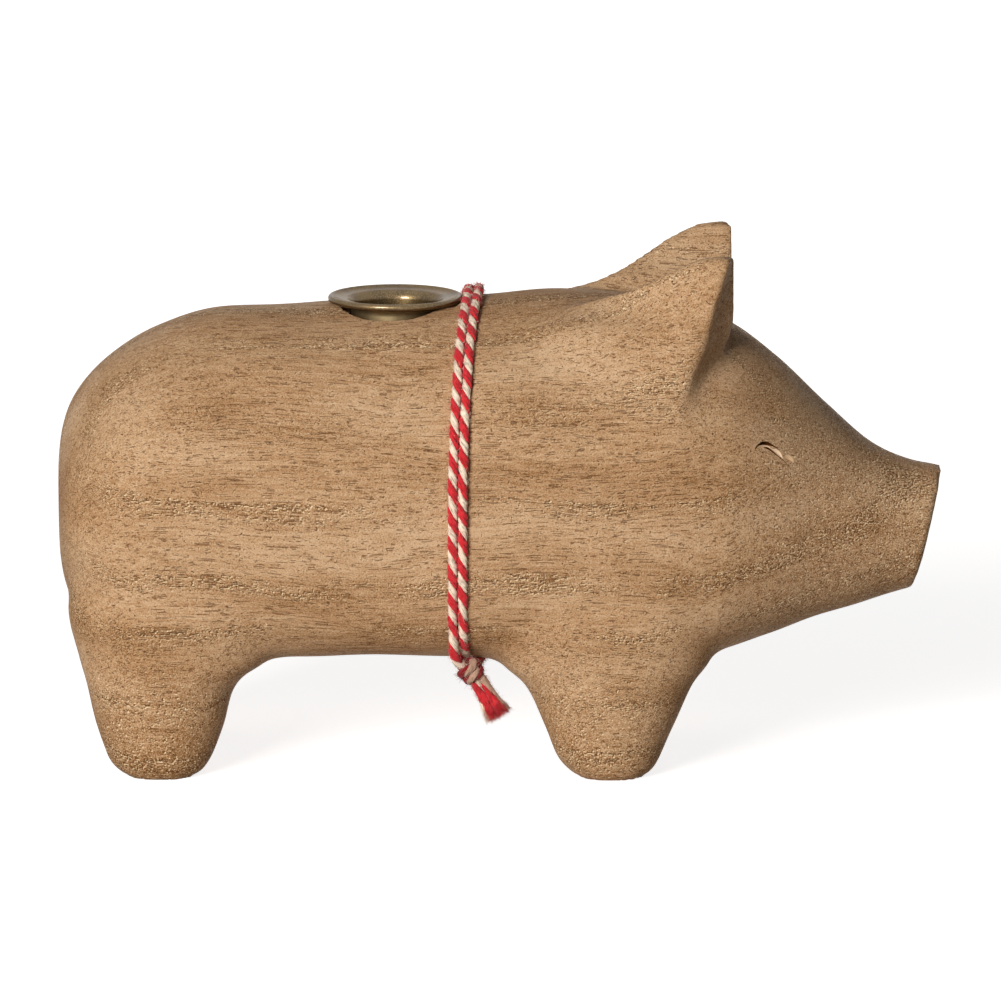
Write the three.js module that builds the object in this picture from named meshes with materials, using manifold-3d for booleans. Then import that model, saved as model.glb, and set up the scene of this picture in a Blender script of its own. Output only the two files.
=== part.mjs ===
// A carved wooden pig that holds one candle: a body cut from a single block, a pressed
// brass cup dropped into a bore in its back, and a cord tied twice round its middle.
// Millimetres, +Z up, snout towards +X, soles on z = 0.
import * as THREE from "three";
import { mergeVertices } from "three/addons/utils/BufferGeometryUtils.js";
import Module from "manifold-3d";

const wasm = await Module();
wasm.setup();

// Carved body
const bodyLength = 238; // rump to the top of the snout
const bodyWidth = 84; // across the flanks
const backHeight = 123.3; // ridge of the back, at mid trunk
const bellyHeight = 30.2; // underside of the belly above the soles
const rumpHeight = 74; // rearmost point of the rump
const snoutWidth = 32;
const snoutTop = 79.6; // upper and lower edge of the flat snout
const snoutBottom = 46.4;
const snoutRake = 7.8; // how far the snout's lower edge lies behind its upper one

// Legs
const rearLegX = -90.6; // leg axes along the body
const frontLegX = 30.4;
const legInset = 3.5; // from the flank's face to the outer edge of the sole
const soleLength = 20;
const soleWidth = 22;

// Ears
const earHeight = 141; // tip above the soles
const earTipX = 63.9; // front edge of the tip
const earInset = 7; // from the flank's face to the outer edge of the tip
const earLength = 53; // tip to where the front edge runs out in the cheek
const earDepth = 82; // along the flank, at the root
const earBreadth = 15; // across the front face, at the root
const earScoop = 1.3; // depth of the gouged hollow in the front face
const earSwell = 0.9; // how far the outer face swells

// Eyes, a knife cut each side
const eyeX = 73.6;
const eyeHeight = 88;
const eyeLength = 9.6;
const eyeRise = 5.4; // from the cut's front end to the top of its arch
const eyeWidth = 1.3;
const eyeDepth = 1.2;

// Candle cup, pressed from sheet
const candleDiameter = 22;
const candlePlay = 0.4; // radial room round the candle
const cupWall = 0.8;
const cupDepth = 24; // from the flange's underside to the outside of the floor
const cupX = -27.9;
const flangeDiameter = 36.4;
const rimRoll = 0.9; // radius of the rolled edge
const neckFlare = 2.5; // radius of the throat between the flange and the tube
const flangeDish = 0.8; // how far the flange falls from the rolled edge to the throat
const floorRound = 1.6; // radius round the cup's floor

// Bore in the back
const boreClearance = 0.5; // radial room round the tube
const boreSpare = 1; // depth left under the cup's floor
const neckRelief = 0.7; // radial room round the flared neck
const flangeRelief = 0.6; // radial room round the flange where it is let into the ridge
const seatSink = 0.9; // how deep the flange's seat is cut into the ridge
const seatGap = 0.3;

// Tied cord
const cordDiameter = 2.2;
const cordTurns = 2;
const turnGap = 0.45; // between neighbouring turns
const cordGap = 0.35; // between the cord and the wood
const cordToRim = 0.43; // between the cord and the cup's rim, on the ridge
const cordYaw = 0.085; // the turns run this far forward for each millimetre from the flank
const cordBow = 4; // radius of their forward bow over the ridge
const knotLength = 8; // across the cord's two ends
const knotThickness = 6.4;
const knotAngle = THREE.MathUtils.degToRad(-126); // round the body, from the far flank
const knotShift = 1.6; // forward of the turns
const knotLead = 0.055; // share of a turn in which each end lifts off the wood to the knot
const tailLength = 8.6;
const tailLean = THREE.MathUtils.degToRad(29); // of the ends, forward from hanging straight
const tailSpread = THREE.MathUtils.degToRad(3); // each end away from their mean line
const tailGap = 0.45; // between the two ends at the knot

// Fineness of the facets
const ringPoints = 36;
const ringsPerRib = 3;
const limbPoints = 20;
const ringsPerStation = 2;
const earSidePoints = 8; // along each of an ear's three sides
const latheSegments = 32;
const cordSides = 8;
const stepsPerTurn = 56;
const stepsPerTail = 2;
const knotSegments = 14;
const knotRings = 10;
const weld = 1e-4; // points this close are one

const halfTurn = Math.PI;
const fullTurn = 2 * Math.PI;
const rumpX = -bodyLength / 2;
const snoutX = bodyLength / 2;
const flank = bodyWidth / 2;

const wood = new THREE.MeshStandardMaterial({ color: 0xb0895f, roughness: 0.75, metalness: 0 });
const brass = new THREE.MeshStandardMaterial({ color: 0x6f5d3c, roughness: 0.38, metalness: 1 });
const yarn = new THREE.MeshStandardMaterial({ color: 0xb8452f, roughness: 0.95, metalness: 0 });

function mesh(name, geometry, material) {
  const made = new THREE.Mesh(geometry, material);
  made.name = name;
  return made;
}

// A closed geometry as a solid that can be joined and cut.
function solidOf(geometry) {
  const bare = geometry.clone();
  bare.deleteAttribute("normal");
  bare.deleteAttribute("uv");
  const merged = mergeVertices(bare, weld);
  return new wasm.Manifold(
    new wasm.Mesh({
      numProp: 3,
      vertProperties: merged.attributes.position.array,
      triVerts: new Uint32Array(merged.index.array),
    }),
  );
}

function geometryOf(solid) {
  const { vertProperties, triVerts, numProp } = solid.getMesh();
  const interleaved = new THREE.InterleavedBuffer(vertProperties, numProp);
  const geometry = new THREE.BufferGeometry();
  geometry.setAttribute("position", new THREE.InterleavedBufferAttribute(interleaved, 3, 0));
  geometry.setIndex(new THREE.BufferAttribute(triVerts, 1));
  return geometry.toNonIndexed();
}

// A closed skin over a row of rings of points, with a fan to a point closing each end.
function loft(rings, startPoint, endPoint) {
  const count = rings[0].length;
  const points = [...rings.flat(), startPoint, endPoint];
  const start = points.length - 2;
  const end = points.length - 1;
  const last = (rings.length - 1) * count;
  const index = [];
  for (let j = 0; j < count; j++) {
    const next = (j + 1) % count;
    index.push(start, next, j, end, last + j, last + next);
    for (let ring = 0; ring < last; ring += count)
      index.push(
        ring + j, ring + next, ring + count + j,
        ring + next, ring + count + next, ring + count + j,
      );
  }
  const geometry = new THREE.BufferGeometry().setFromPoints(points);
  geometry.setIndex(index);
  return geometry;
}

// A point of a rounded outline about a centre, at an angle from its `side` half-axis
// towards its `up` half-axis. Squareness 2 is an ellipse, more is boxier, and the upper
// and lower halves have their own.
function outlinePoint({ centre, side, up, crown, keel }, angle) {
  const power = 2 / (Math.sin(angle) >= 0 ? crown : keel);
  const soften = (value) => Math.sign(value) * Math.abs(value) ** power;
  return centre
    .clone()
    .addScaledVector(side, soften(Math.cos(angle)))
    .addScaledVector(up, soften(Math.sin(angle)));
}

function outline(section, count) {
  return Array.from({ length: count }, (_, i) => outlinePoint(section, (i / count) * fullTurn));
}

// Trunk and head: ribs from the rump to the snout. Each spans a top and a bottom point of
// the side outline, [x, z], and has a half-width and the squareness of its two halves.
// Places and widths are shares of the sizes above.
const { lerp } = THREE.MathUtils;
const along = (share) => rumpX + bodyLength * share;
const rise = (share) => lerp(rumpHeight, backHeight, share); // rump to ridge
const drop = (share) => lerp(rumpHeight, bellyHeight, share); // rump to belly
const brow = (share) => lerp(backHeight, snoutTop, share); // ridge to snout
const jaw = (share) => lerp(bellyHeight, snoutBottom, share); // belly to snout
const broad = (share) => flank * share;
const taper = (share) => lerp(flank, snoutWidth / 2, share);
const rib = (top, bottom, halfWidth, crown, keel) => ({ top, bottom, halfWidth, crown, keel });
const ribs = [
  rib([rumpX, rumpHeight], [rumpX, rumpHeight], 0, 2.2, 2.4),
  rib([along(0.0013), rise(0.162)], [along(0.0013), drop(0.183)], broad(0.262), 2.2, 2.4),
  rib([along(0.0067), rise(0.325)], [along(0.0067), drop(0.479)], broad(0.476), 2.2, 2.5),
  rib([along(0.0168), rise(0.46)], [along(0.0168), drop(0.658)], broad(0.655), 2.2, 2.7),
  rib([along(0.0378), rise(0.61)], [along(0.0378), drop(0.817)], broad(0.81), 2.1, 3),
  rib([along(0.0672), rise(0.74)], [along(0.0672), drop(0.932)], broad(0.929), 2.1, 3.4),
  rib([along(0.1092), rise(0.866)], [along(0.1092), drop(0.984)], broad(0.988), 2.1, 3.8),
  rib([along(0.1723), rise(0.959)], [along(0.1723), bellyHeight], flank, 2.1, 4),
  rib([along(0.2899), backHeight], [along(0.2899), bellyHeight], flank, 2, 4),
  rib([along(0.4874), rise(1.053)], [along(0.4874), bellyHeight], flank, 2, 4),
  rib([along(0.584), rise(1.073)], [along(0.5882), bellyHeight], flank, 2.1, 4),
  rib([along(0.6891), rise(1.02)], [along(0.6849), bellyHeight], flank, 2.2, 3.6),
  rib([along(0.7605), brow(0.124)], [along(0.7479), jaw(0.025)], taper(0.1), 2.2, 3.2),
  rib([along(0.813), brow(0.334)], [along(0.8025), jaw(0.272)], taper(0.31), 2.2, 2.8),
  rib([along(0.8672), brow(0.625)], [along(0.8529), jaw(0.531)], taper(0.55), 2.2, 2.5),
  rib([along(0.9214), brow(0.874)], [along(0.9013), jaw(0.716)], taper(0.75), 2.2, 2.3),
  rib([along(0.9622), brow(0.966)], [along(0.9349), jaw(0.864)], taper(0.89), 2.2, 2.2),
  rib([snoutX, snoutTop], [snoutX - snoutRake, snoutBottom], taper(1), 2.2, 2.2),
];
const through = (pick) => new THREE.CatmullRomCurve3(ribs.map(pick), false, "centripetal");
const topLine = through(({ top }) => new THREE.Vector3(top[0], 0, top[1]));
const bottomLine = through(({ bottom }) => new THREE.Vector3(bottom[0], 0, bottom[1]));
const formLine = through((r) => new THREE.Vector3(r.halfWidth, r.crown, r.keel));

function trunkSection(share) {
  const top = topLine.getPoint(share);
  const bottom = bottomLine.getPoint(share);
  const form = formLine.getPoint(share);
  return {
    centre: top.clone().add(bottom).multiplyScalar(0.5),
    side: new THREE.Vector3(0, form.x, 0),
    up: top.clone().sub(bottom).multiplyScalar(0.5),
    crown: form.y,
    keel: form.z,
  };
}

// The trunk's section whose top lies at x, found by halving.
function trunkSectionAt(x) {
  let low = 0;
  let high = 1;
  for (let i = 0; i < 40; i++) {
    const middle = (low + high) / 2;
    if (topLine.getPoint(middle).x < x) low = middle;
    else high = middle;
  }
  return trunkSection(low);
}

function makeTrunk() {
  const steps = (ribs.length - 1) * ringsPerRib;
  const rings = Array.from({ length: steps }, (_, i) =>
    outline(trunkSection((i + 1) / steps), ringPoints),
  );
  return loft(rings, trunkSection(0).centre, trunkSection(1).centre);
}

// Legs stand up from station to station: at a height, how far they reach back and forward
// along x, and inwards and outwards from the middle of the body.
const station = (height, back, front, inner, outer) => ({ height, back, front, inner, outer });
const legSquareness = 2.2;

function makeLeg(stations, mirrored) {
  const sign = mirrored ? -1 : 1;
  const reach = new THREE.CatmullRomCurve3(
    stations.map((s) => new THREE.Vector3(s.height, s.back, s.front)),
    false,
    "centripetal",
  );
  const spread = new THREE.CatmullRomCurve3(
    stations.map((s) => new THREE.Vector3(s.height, s.inner, s.outer)),
    false,
    "centripetal",
  );
  const steps = (stations.length - 1) * ringsPerStation;
  const sections = Array.from({ length: steps + 1 }, (_, i) => {
    const { x: height, y: back, z: front } = reach.getPoint(i / steps);
    const { y: inner, z: outer } = spread.getPoint(i / steps);
    return {
      centre: new THREE.Vector3((back + front) / 2, (sign * (inner + outer)) / 2, height),
      side: new THREE.Vector3((front - back) / 2, 0, 0),
      up: new THREE.Vector3(0, (outer - inner) / 2, 0),
      crown: legSquareness,
      keel: legSquareness,
    };
  });
  const rings = sections.map((section) => outline(section, limbPoints));
  return loft(rings, sections[0].centre, sections[steps].centre);
}

// A leg, from its rounded sole up into the trunk: heights are shares of the belly's, reaches
// past the sole are shares of its length and width, and the outer face lies so many insets
// in from the flank.
function legStations(axisX, backReach, frontReach) {
  const heights = [0, 0.04, 0.149, 0.437, 0.801, 1.033, 1.464, 2.06];
  const inwards = [-0.068, 0.023, 0.091, 0.227, 0.409, 0.636, 0.636, 0.409];
  const insets = [1.43, 1, 0.66, 0.4, 0.23, 0.17, 0.17, 1.71];
  return heights.map((share, i) =>
    station(
      bellyHeight * share,
      axisX - soleLength * (0.5 + backReach[i]),
      axisX + soleLength * (0.5 + frontReach[i]),
      flank - legInset - soleWidth * (1 + inwards[i]),
      flank - legInset * insets[i],
    ),
  );
}
const rearLeg = legStations(
  rearLegX,
  [-0.075, 0.05, 0.21, 0.37, 0.49, 0.6, 0.74, 0.52],
  [-0.075, 0.05, 0.17, 0.35, 0.53, 0.975, 1.2, 0.75],
);
const frontLeg = legStations(
  frontLegX,
  [-0.075, 0.05, 0.21, 0.4, 0.66, 1.025, 1.2, 0.75],
  [-0.1, 0.015, 0.135, 0.315, 0.57, 0.85, 1.05, 0.75],
);

// An ear's three corners, from its tip down to where it runs out in the cheek: the front
// edge on the flank's side, the inner end of the front face, and the rear end along the
// ridge. They are shares of the ear's length down, of its depth back from the tip, and of
// its inset from the flank or its breadth inwards.
function earCorners() {
  const down = [0, 0.013, 0.075, 0.17, 0.283, 0.415, 0.585, 0.755, 0.887, 1];
  const edgeBack = [0.036, 0.028, 0.037, 0.058, 0.078, 0.107, 0.138, 0.161, 0.176, 0.183];
  const edgeIn = [1.143, 1, 0.886, 0.8, 0.7, 0.586, 0.443, 0.357, 0.3, 0.257];
  const innerBack = [0.02, 0.01, 0.002, -0.004, -0.008, 0.002, 0.055, 0.105, 0.14, 0.16];
  const innerIn = [0.42, 0.5, 0.6, 0.68, 0.79, 0.9, 1, 1, 1, 0.867];
  const rearBack = [0.12, 0.15, 0.235, 0.355, 0.545, 0.89, 1.02, 1.02, 1.02, 1.02];
  const rearIn = [0.4, 0.43, 0.53, 0.76, 1.333, 1.147, 0.733, 0.093, -0.227, -0.267];
  const corner = (back, inwards) =>
    new THREE.CatmullRomCurve3(
      down.map(
        (share, i) =>
          new THREE.Vector3(
            earTipX - earDepth * back[i],
            flank - inwards(i),
            earHeight - earLength * share,
          ),
      ),
      false,
      "centripetal",
    );
  return {
    rows: down.length,
    corners: [
      corner(edgeBack, (i) => earInset * edgeIn[i]),
      corner(innerBack, (i) => earInset + earBreadth * innerIn[i]),
      corner(rearBack, (i) => earInset + earBreadth * rearIn[i]),
    ],
  };
}

// A ring with its corners eased: each point goes half way to the middle of its neighbours.
function eased(ring) {
  return ring.map((point, i) => {
    const before = ring.at(i - 1);
    const after = ring[(i + 1) % ring.length];
    return point.clone().add(before.clone().add(after).divideScalar(2)).divideScalar(2);
  });
}

// An ear: level rings through the three corners, whose front side is gouged hollow and
// whose other sides swell a little, fading out at the tip.
function makeEar(mirrored) {
  const { rows, corners } = earCorners();
  const sign = mirrored ? -1 : 1;
  const steps = (rows - 1) * ringsPerStation;
  const { smoothstep } = THREE.MathUtils;
  const rings = Array.from({ length: steps + 1 }, (_, i) => {
    const share = i / steps;
    const fullness = smoothstep(share, 0.04, 0.3) * (1 - 0.6 * smoothstep(share, 0.7, 1));
    const swells = [-earScoop, earSwell / 3, earSwell];
    const ring = corners.flatMap((from, k) => {
      const start = from.getPoint(share);
      const way = corners[(k + 1) % 3].getPoint(share).sub(start);
      const outward = new THREE.Vector3(-way.y, way.x, 0).normalize();
      return Array.from({ length: earSidePoints }, (_, j) => {
        const t = j / earSidePoints;
        const swell = swells[k] * fullness * 4 * t * (1 - t);
        return start.clone().addScaledVector(way, t).addScaledVector(outward, swell);
      });
    });
    for (const point of ring) point.y *= sign;
    return eased(mirrored ? ring.reverse() : ring);
  });
  const middle = (ring) =>
    ring.reduce((sum, p) => sum.add(p), new THREE.Vector3()).divideScalar(ring.length);
  return loft(rings, middle(rings[0]), middle(rings[steps]));
}

// Bore for the cup, turned from its profile: the tube's bore, the relief round the flared
// neck, and the flange's flat seat in the ridge.
const tubeInner = candleDiameter / 2 + candlePlay;
const tubeOuter = tubeInner + cupWall;
const neckOuter = tubeOuter + neckFlare;
const rim = flangeDiameter / 2;
const ridgeAtCup = outlinePoint(trunkSectionAt(cupX), halfTurn / 2);
const seatHeight = ridgeAtCup.z - seatSink;

function turned(points) {
  return new THREE.LatheGeometry(points, latheSegments).rotateX(halfTurn / 2);
}

function makeBore() {
  const boreRadius = tubeOuter + boreClearance;
  const reliefRadius = neckOuter + neckRelief;
  const reliefDepth = neckFlare + neckRelief;
  const seatRadius = rim + flangeRelief;
  const floor = -(cupDepth + boreSpare);
  const above = seatSink + rim;
  return turned([
    new THREE.Vector2(0, floor),
    new THREE.Vector2(boreRadius, floor),
    new THREE.Vector2(boreRadius, -reliefDepth),
    new THREE.Vector2(reliefRadius, -reliefDepth),
    new THREE.Vector2(reliefRadius, 0),
    new THREE.Vector2(seatRadius, 0),
    new THREE.Vector2(seatRadius, above),
    new THREE.Vector2(0, above),
  ]).translate(cupX, 0, seatHeight);
}

// An eye: a thin arched sliver cut square to the cheek where a ray from the side meets it.
function makeEye(trunk, sign) {
  const from = new THREE.Vector3(eyeX, sign * bodyWidth, eyeHeight);
  const ray = new THREE.Raycaster(from, new THREE.Vector3(0, -sign, 0));
  const [hit] = ray.intersectObject(new THREE.Mesh(trunk, wood));
  const outward = hit.face.normal;
  const across = new THREE.Vector3(1, 0, 0).projectOnPlane(outward).normalize();
  const back = (sign * eyeLength) / 2;
  const top = eyeRise / 2;
  const lid = new THREE.Shape();
  lid.moveTo(back, top - eyeWidth);
  lid.quadraticCurveTo(back * 0.6, top + eyeWidth, 0, top - eyeWidth);
  lid.quadraticCurveTo(-back / 2, top - 2 * eyeWidth, -back, -top);
  lid.quadraticCurveTo(-back / 2, -eyeWidth, 0, top - 2 * eyeWidth);
  lid.quadraticCurveTo(back / 2, top - eyeWidth / 2, back, top - eyeWidth);
  const sliver = new THREE.ExtrudeGeometry(lid, {
    depth: 2 * eyeDepth,
    bevelEnabled: false,
    curveSegments: 4,
  });
  across.multiplyScalar(-sign);
  return sliver
    .translate(0, 0, -eyeDepth)
    .applyMatrix4(new THREE.Matrix4().makeBasis(across, outward.clone().cross(across), outward))
    .translate(hit.point.x, hit.point.y, hit.point.z);
}

function makeBody() {
  const trunk = makeTrunk();
  let body = solidOf(trunk);
  for (const mirrored of [false, true]) {
    for (const stations of [rearLeg, frontLeg])
      body = body.add(solidOf(makeLeg(stations, mirrored)));
    body = body.add(solidOf(makeEar(mirrored)));
    body = body.subtract(solidOf(makeEye(trunk, mirrored ? -1 : 1)));
  }
  return geometryOf(body.subtract(solidOf(makeBore())));
}

// Cup: closed tube, flared neck, dished flange and rolled edge, from z = 0 on its seat.
function arc(centreX, centreY, radius, from, to, count) {
  return Array.from({ length: count + 1 }, (_, i) => {
    const angle = THREE.MathUtils.degToRad(from + ((to - from) * i) / count);
    return new THREE.Vector2(centreX + radius * Math.cos(angle), centreY + radius * Math.sin(angle));
  });
}

function makeCup() {
  const throat = neckFlare - cupWall;
  const throatTop = 2 * rimRoll - flangeDish;
  return turned([
    new THREE.Vector2(0, -cupDepth),
    ...arc(tubeOuter - floorRound, floorRound - cupDepth, floorRound, -90, 0, 3),
    ...arc(neckOuter, -neckFlare, neckFlare, 180, 90, 5),
    ...arc(rim - rimRoll, rimRoll, rimRoll, -90, 90, 8),
    new THREE.Vector2(rim - 2 * rimRoll, 2 * rimRoll - cupWall / 3),
    ...arc(tubeInner + throat + cupWall, throatTop - throat - cupWall, throat + cupWall, 90, 180, 5),
    new THREE.Vector2(tubeInner, cupWall - cupDepth),
    new THREE.Vector2(0, cupWall - cupDepth),
  ]);
}

// Cord: its turns lie on the trunk from the knot, up the near flank, over the back beside
// the cup's rim and round again, and both ends lift off the wood into the knot.
const cordRadius = cordDiameter / 2;
const cordPitch = cordDiameter + turnGap;
const cordMidX = cupX + rim + cordToRim + cordRadius + cordPitch * (1 - windingShare(halfTurn / 2));

// Share of a turn from the knot to an angle round the body, the way that the cord runs.
function windingShare(angle) {
  return ((((knotAngle - angle) / fullTurn) % 1) + 1) % 1;
}

// A point of the trunk's outline at a place along it, and the way out of the wood there.
function onTrunk(x, angle) {
  const section = trunkSectionAt(x);
  const nudge = 0.01;
  const point = outlinePoint(section, angle);
  const round = outlinePoint(section, angle + nudge).sub(outlinePoint(section, angle - nudge));
  const outward = new THREE.Vector3(0, round.z, -round.y).normalize();
  point.x = x;
  return { point, outward };
}

// The same, for the cord's line when it has made so many turns from the knot.
function onTurn(turn) {
  const angle = knotAngle - turn * fullTurn;
  const level = cordMidX + (turn - cordTurns / 2) * cordPitch;
  const { point } = onTrunk(level, angle);
  const fromRidge = Math.hypot(point.y, cordBow) - cordBow;
  return onTrunk(level - cordYaw * fromRidge, angle);
}

const lifted = ({ point, outward }, height) => point.clone().addScaledVector(outward, height);
const knotSeat = onTurn(cordTurns / 2);
const knotCentre = lifted(knotSeat, 2 * cordGap + cordDiameter + turnGap + knotThickness / 2);
knotCentre.x += knotShift;

const knotReach = new THREE.Vector3(knotLength / 2, knotThickness / 2, knotLength / 2);

// How far a point lies from the knot's middle, in knots: 1 is on its surface.
const knotsAway = (point, spare) =>
  point.clone().sub(knotCentre).divide(knotReach.clone().addScalar(spare)).length();

// The place where a cord that runs straight at the knot's middle stops, short of its surface.
function atKnot(from) {
  const towards = from.clone().sub(knotCentre);
  const surface = towards.length() / knotsAway(from, 0);
  return knotCentre.clone().addScaledVector(towards.normalize(), surface + cordGap);
}

function makeWindingPath() {
  const samples = 120;
  const turns = Array.from({ length: samples * cordTurns + 1 }, (_, i) => i / samples);
  const laid = turns
    .map((turn) => {
      const toEnd = Math.min(turn, cordTurns - turn) / knotLead;
      const lift = Math.max(0, 1 - toEnd) * (cordDiameter + knotThickness / 2);
      return { turn, point: lifted(onTurn(turn), cordGap + cordRadius + lift) };
    })
    .filter(({ turn, point }) => {
      const nearEnd = Math.min(turn, cordTurns - turn) < 2 * knotLead;
      return !nearEnd || knotsAway(point, cordDiameter) > 1;
    })
    .map(({ point }) => point);
  const points = [atKnot(laid[0]), ...laid, atKnot(laid[laid.length - 1])];
  return new THREE.CatmullRomCurve3(points, false, "centripetal");
}

function makeCord(path, steps) {
  const round = new THREE.Shape(
    new THREE.EllipseCurve(0, 0, cordRadius, cordRadius, 0, fullTurn).getPoints(cordSides).slice(1),
  );
  return new THREE.ExtrudeGeometry(round, { steps, extrudePath: path, bevelEnabled: false });
}

// Least room between stretches of one cord that lie more than a few diameters apart along it.
function leastGap(path) {
  const count = 900;
  const points = path.getSpacedPoints(count);
  const skip = Math.ceil((4 * cordDiameter * count) / path.getLength());
  let least = Infinity;
  for (let i = 0; i < count; i++)
    for (let j = i + skip; j <= count; j++)
      least = Math.min(least, points[i].distanceTo(points[j]));
  return least - cordDiameter;
}

// The two loose ends leave the knot side by side.
function makeTail(sign) {
  const down = new THREE.Vector3(Math.sin(tailLean), 0, -Math.cos(tailLean));
  const aside = new THREE.Vector3(Math.cos(tailLean), 0, Math.sin(tailLean));
  const start = knotCentre
    .clone()
    .addScaledVector(down, knotLength / 2 + cordGap)
    .addScaledVector(aside, sign * (cordRadius + tailGap / 2));
  const run = down.clone().addScaledVector(aside, sign * Math.tan(tailSpread));
  const end = start.clone().addScaledVector(run, tailLength);
  return makeCord(new THREE.LineCurve3(start, end), stepsPerTail);
}

const winding = makeWindingPath();
console.log(`cord's turns ${winding.getLength().toFixed(0)} mm long`);
console.log(`least gap of the cord to itself ${leastGap(winding).toFixed(2)} mm`);
const knot = new THREE.SphereGeometry(1, knotSegments, knotRings)
  .scale(knotLength / 2, knotThickness / 2, knotLength / 2)
  .translate(knotCentre.x, knotCentre.y, knotCentre.z);

const pig = new THREE.Group();
pig.add(mesh("pig_body", makeBody(), wood));

const cup = mesh("candle_cup", makeCup(), brass);
cup.position.set(cupX, 0, seatHeight + seatGap);
pig.add(cup);

pig.add(mesh("cord_winding", makeCord(winding, stepsPerTurn * cordTurns), yarn));
pig.add(mesh("cord_knot", knot, yarn));
pig.add(mesh("cord_end_rear", makeTail(-1), yarn));
pig.add(mesh("cord_end_front", makeTail(1), yarn));

export default pig;
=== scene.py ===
import math
from types import SimpleNamespace

import bpy
import numpy as np
from bpy.props import FloatProperty, FloatVectorProperty, IntProperty, PointerProperty
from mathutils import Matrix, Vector


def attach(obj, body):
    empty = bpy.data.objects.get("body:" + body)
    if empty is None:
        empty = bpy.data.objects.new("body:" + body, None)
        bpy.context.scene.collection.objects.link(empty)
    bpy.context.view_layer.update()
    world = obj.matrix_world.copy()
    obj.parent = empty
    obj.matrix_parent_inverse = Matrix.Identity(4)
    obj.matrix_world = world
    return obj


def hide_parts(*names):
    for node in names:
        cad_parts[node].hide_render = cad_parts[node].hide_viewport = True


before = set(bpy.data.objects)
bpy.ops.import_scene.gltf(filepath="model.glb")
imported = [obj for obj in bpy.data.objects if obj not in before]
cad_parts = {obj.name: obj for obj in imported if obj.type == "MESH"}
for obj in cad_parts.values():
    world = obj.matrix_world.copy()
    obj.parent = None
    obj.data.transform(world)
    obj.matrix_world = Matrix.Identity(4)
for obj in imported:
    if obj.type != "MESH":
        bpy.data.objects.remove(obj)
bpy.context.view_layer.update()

bl_info = {
    "name": "Carved pig candle holder",
    "version": (1, 0, 0),
    "blender": (4, 5, 0),
    "location": "View3D > Sidebar > Pig",
    "description": "Dresses the packed pig candle holder: carved wood, brass cup and tied cord",
    "category": "Object",
}

MM = 0.001
TURN = 2 * math.pi
AIM = Vector((0, 0, 0.07))  # middle of the object, which the camera and the lamps face
FRAME_PIXELS = 1001  # width of the photograph
PIXEL = 0.2693 * MM  # one of its pixels on the object
FIBRE = 0.055  # radius of a loose fibre, in millimetres
FLOOR_ROWS, WALL_ROWS, NECK_ROWS = 8, 6, 14  # rows of the cup's section, from its floor up


def linear(red, green, blue):
    """A display colour, 0 to 255, as linear light: the sRGB curve undone."""
    display = np.array([red, green, blue]) / 255
    low = display / 12.92
    high = ((display + 0.055) / 1.055) ** 2.4
    return tuple(np.where(display <= 0.04045, low, high))


def length(name, description, millimetres):
    """A size that a user may change, stored in metres."""
    return FloatProperty(
        name=name,
        description=description,
        default=millimetres * MM,
        min=0 if millimetres >= 0 else -1,
        unit="LENGTH",
        precision=4,
    )


def angle(name, description, degrees):
    """An angle that a user may change, stored in radians."""
    return FloatProperty(
        name=name, description=description, default=math.radians(degrees), unit="ROTATION"
    )


def share(name, description, default):
    """A plain number between 0 and 1 that a user may change."""
    return FloatProperty(
        name=name, description=description, default=default, min=0, max=1, subtype="FACTOR"
    )


def colour(name, description, red, green, blue):
    """A colour that a user may change, given as a display colour."""
    return FloatVectorProperty(
        name=name,
        description=description,
        default=linear(red, green, blue),
        min=0,
        max=1,
        subtype="COLOR",
    )


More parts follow.
